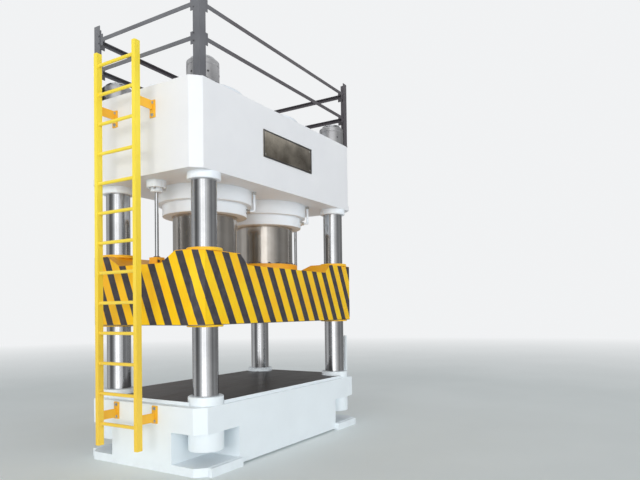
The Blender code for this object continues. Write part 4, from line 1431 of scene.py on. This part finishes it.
@dataclass
class Studio:
    """The floor, the light and the camera; angles are in degrees except the suns' own widths."""

    lens: float = 32.05
    shift_y: float = 0.0931
    place: Point = (-5.398, -4.462, 1.526)
    yaw: float = 58.645
    pitch: float = 1.142
    roll: float = -0.745
    floor_half: float = 60.0
    floor_colour: Colour = (0.86, 0.91, 0.905)
    floor_shade: Colour = (0.82, 0.87, 0.865)
    background: Colour = (0.88, 0.89, 0.90)
    room_colour: Colour = (0.97, 0.98, 1.0)
    wall_strength: float = 1.66
    wall_rise: float = -0.4
    ceiling_strength: float = 0.42
    ceiling_rise: float = 0.8
    key_strength: float = 0.82
    key_width: float = 0.5
    key_colour: Colour = (1.0, 0.99, 0.97)
    key_toward: Point = (-1.0, -0.12, 0.11)
    window_power: float = 230.0
    window_size: Pair = (8.5, 6.0)
    window_bearing: float = 211.0
    window_away: float = 14.0
    window_middle: float = 3.9
    window_glow: float = 1.88
    fill_strength: float = 0.66
    fill_width: float = 0.8
    fill_colour: Colour = (0.93, 0.968, 1.0)
    fill_bearing: float = 258.0
    fill_rise: float = 6.0
    curtain_radius: float = 12.0
    curtain_foot: float = -4.0
    curtain_height: float = 9.0
    curtain_start: float = 231.0
    curtain_end: float = 552.0
    curtain_steps: int = 60
    curtain_tones: tuple[Pair, ...] = (
        (0.0, 0.26), (45.0, 0.31), (95.0, 0.36), (109.0, 0.56), (130.0, 0.56), (141.0, 0.18), (160.0, 0.12),
        (172.0, 0.31), (192.0, 1.05), (231.0, 1.05), (250.0, 0.65), (268.0, 0.34), (281.0, 0.23),
        (301.0, 0.31), (325.0, 0.22),
    )

    def build(self) -> None:
        """Sets up the stage."""
        self._floor()
        self._world()
        key = Vector(self.key_toward).normalized()
        self._sun("key", self.key_strength, self.key_width, self.key_colour, key)
        self._window()
        self._curtain()
        self._window_pane()
        fill = self._toward(self.fill_bearing, self.fill_rise)
        self._sun("fill", self.fill_strength, self.fill_width, self.fill_colour, fill)
        self._camera()
        bpy.context.scene.view_settings.view_transform = "Standard"

    def _toward(self, bearing: float, rise: float = 0.0) -> Vector:
        """Gives the direction of a bearing that rises by an angle."""
        turn, lift = math.radians(bearing), math.radians(rise)
        return Vector((math.cos(lift) * math.cos(turn), math.cos(lift) * math.sin(turn), math.sin(lift)))

    def _floor(self) -> None:
        """Lays the floor, which reflections leave out."""
        part = bmesh.new()
        bmesh.ops.create_grid(part, x_segments=1, y_segments=1, size=self.floor_half)
        mesh = meshed("floor", part)
        cover = floor_cover("floor_cover", self.floor_colour, self.floor_shade, self.background)
        mesh.materials.append(cover)
        floor = placed("floor", mesh)
        floor.visible_glossy = False

    def _world(self) -> None:
        """Makes the room's soft light, stronger from the walls than from above.

        The camera, metal and glass see a pale background in its place.
        """
        world = bpy.data.worlds.new("studio")
        bpy.context.scene.world = world
        world.use_nodes = True
        nodes = Nodes(world.node_tree)
        output = nodes.node("ShaderNodeOutputWorld")
        blend = nodes.node("ShaderNodeMixShader")
        light = nodes.node("ShaderNodeBackground", {"Color": (*self.room_colour, 1.0)})
        height = nodes.part(nodes.node("ShaderNodeTexCoord").outputs["Generated"], 2)
        strengths = (self.wall_strength, self.ceiling_strength)
        strength = nodes.ranged(height, self.wall_rise, self.ceiling_rise, *strengths, "SMOOTHERSTEP")
        nodes.link(strength, light.inputs["Strength"])
        seen = nodes.node("ShaderNodeBackground", {"Color": (*self.background, 1.0), "Strength": 1.0})
        path = nodes.node("ShaderNodeLightPath").outputs
        straight = nodes.maths("MAXIMUM", path["Is Camera Ray"], path["Is Glossy Ray"])
        nodes.link(nodes.maths("MAXIMUM", straight, path["Is Transmission Ray"]), blend.inputs["Fac"])
        nodes.link(light.outputs["Background"], blend.inputs[1])
        nodes.link(seen.outputs["Background"], blend.inputs[2])
        nodes.link(blend.outputs["Shader"], output.inputs["Surface"])

    def _sun(self, name: str, strength: float, width: float, colour: Colour, toward: Vector) -> None:
        """Adds a broad soft light that reflections leave out.

        Args:
            name: Its name; the key comes from the left, and the level fill from the front stands in for
                the light that a pale floor throws back.
            strength: Its strength.
            width: Its width as seen from the press, in radians.
            colour: Its colour.
            toward: The direction it comes from.
        """
        data = bpy.data.lights.new(name, "SUN")
        data.energy, data.angle, data.color = strength, width, colour
        lamp = placed(name, data)
        lamp.rotation_euler = toward.to_track_quat("Z", "Y").to_euler()
        lamp.visible_glossy = False

    def _window(self) -> None:
        """Adds a large soft window light behind the camera's left shoulder."""
        data = bpy.data.lights.new("window", "AREA")
        data.shape = "RECTANGLE"
        data.size, data.size_y = self.window_size
        data.energy = self.window_power
        lamp = placed("window", data)
        away = self._toward(self.window_bearing) * self.window_away
        lamp.location = away + Vector((0.0, 0.0, self.window_middle))
        lamp.rotation_euler = (-away).to_track_quat("-Z", "Y").to_euler()
        lamp.visible_glossy = False

    def _curtain(self) -> None:
        """Hangs a toned curtain round the press, open at the window, seen only in reflections."""
        part = bmesh.new()
        low, high = [], []
        sweep = self.curtain_end - self.curtain_start
        for step in range(self.curtain_steps + 1):
            bearing = math.radians(self.curtain_start + sweep * step / self.curtain_steps)
            x, y = self.curtain_radius * math.cos(bearing), self.curtain_radius * math.sin(bearing)
            low.append(part.verts.new((x, y, self.curtain_foot)))
            high.append(part.verts.new((x, y, self.curtain_height)))
        for step in range(self.curtain_steps):
            part.faces.new((low[step], low[step + 1], high[step + 1], high[step]))
        self._reflected("curtain", part, curtain("curtain_cloth", self.curtain_tones))

    def _window_pane(self) -> None:
        """Shows the window in reflections, lengthened so that the columns' low ends show it too."""
        middle = self._toward(self.window_bearing) * self.window_away
        side = self._toward(self.window_bearing + 90.0) * (self.window_size[0] / 2)
        foot, top = self.curtain_foot, self.window_middle + self.window_size[1] / 2
        part = bmesh.new()
        corners = []
        for reach, z in ((-1, foot), (1, foot), (1, top), (-1, top)):
            corners.append(part.verts.new(middle + side * reach + Vector((0.0, 0.0, z))))
        part.faces.new(corners)
        glow = ((0.0, self.window_glow), (360.0, self.window_glow))
        self._reflected("window_pane", part, curtain("window_pane", glow))

    def _reflected(self, name: str, part: bmesh.types.BMesh, material: Material) -> None:
        """Stages a surface that only reflections show.

        Args:
            name: The name of the object and its mesh.
            part: The surface, which is used up.
            material: Its glowing material.
        """
        mesh = meshed(name, part)
        mesh.materials.append(material)
        cloth = placed(name, mesh)
        cloth.visible_camera = False
        cloth.visible_diffuse = False
        cloth.visible_shadow = False

    def _camera(self) -> None:
        """Places the camera at the photograph's viewpoint."""
        data = bpy.data.cameras.new("camera")
        data.sensor_width = 36.0
        data.lens = self.lens
        data.shift_y = self.shift_y
        data.clip_end = 200.0
        camera = placed("camera", data)
        yaw, pitch, roll = (math.radians(angle) for angle in (self.yaw, self.pitch, self.roll))
        ahead = Vector((math.sin(yaw) * math.cos(pitch), math.cos(yaw) * math.cos(pitch), math.sin(pitch)))
        level = Vector((math.cos(yaw), -math.sin(yaw), 0.0))
        up = level.cross(ahead)
        right = math.cos(roll) * level + math.sin(roll) * up
        above = -math.sin(roll) * level + math.cos(roll) * up
        turn = Matrix((right, above, -ahead)).transposed().to_4x4()
        camera.matrix_world = Matrix.Translation(self.place) @ turn
        bpy.context.scene.camera = camera


def main() -> None:
    """Builds the looks of the whole press."""
    logging.basicConfig(level=logging.INFO, format="%(message)s")
    for group in (
        Bed, Crown, Columns, MainCylinders, Rams, ReturnCylinders, Slide, Ladder, GuardRails, LimitPost,
        Studio,
    ):
        group().build()


if __name__ == "__main__":
    main()
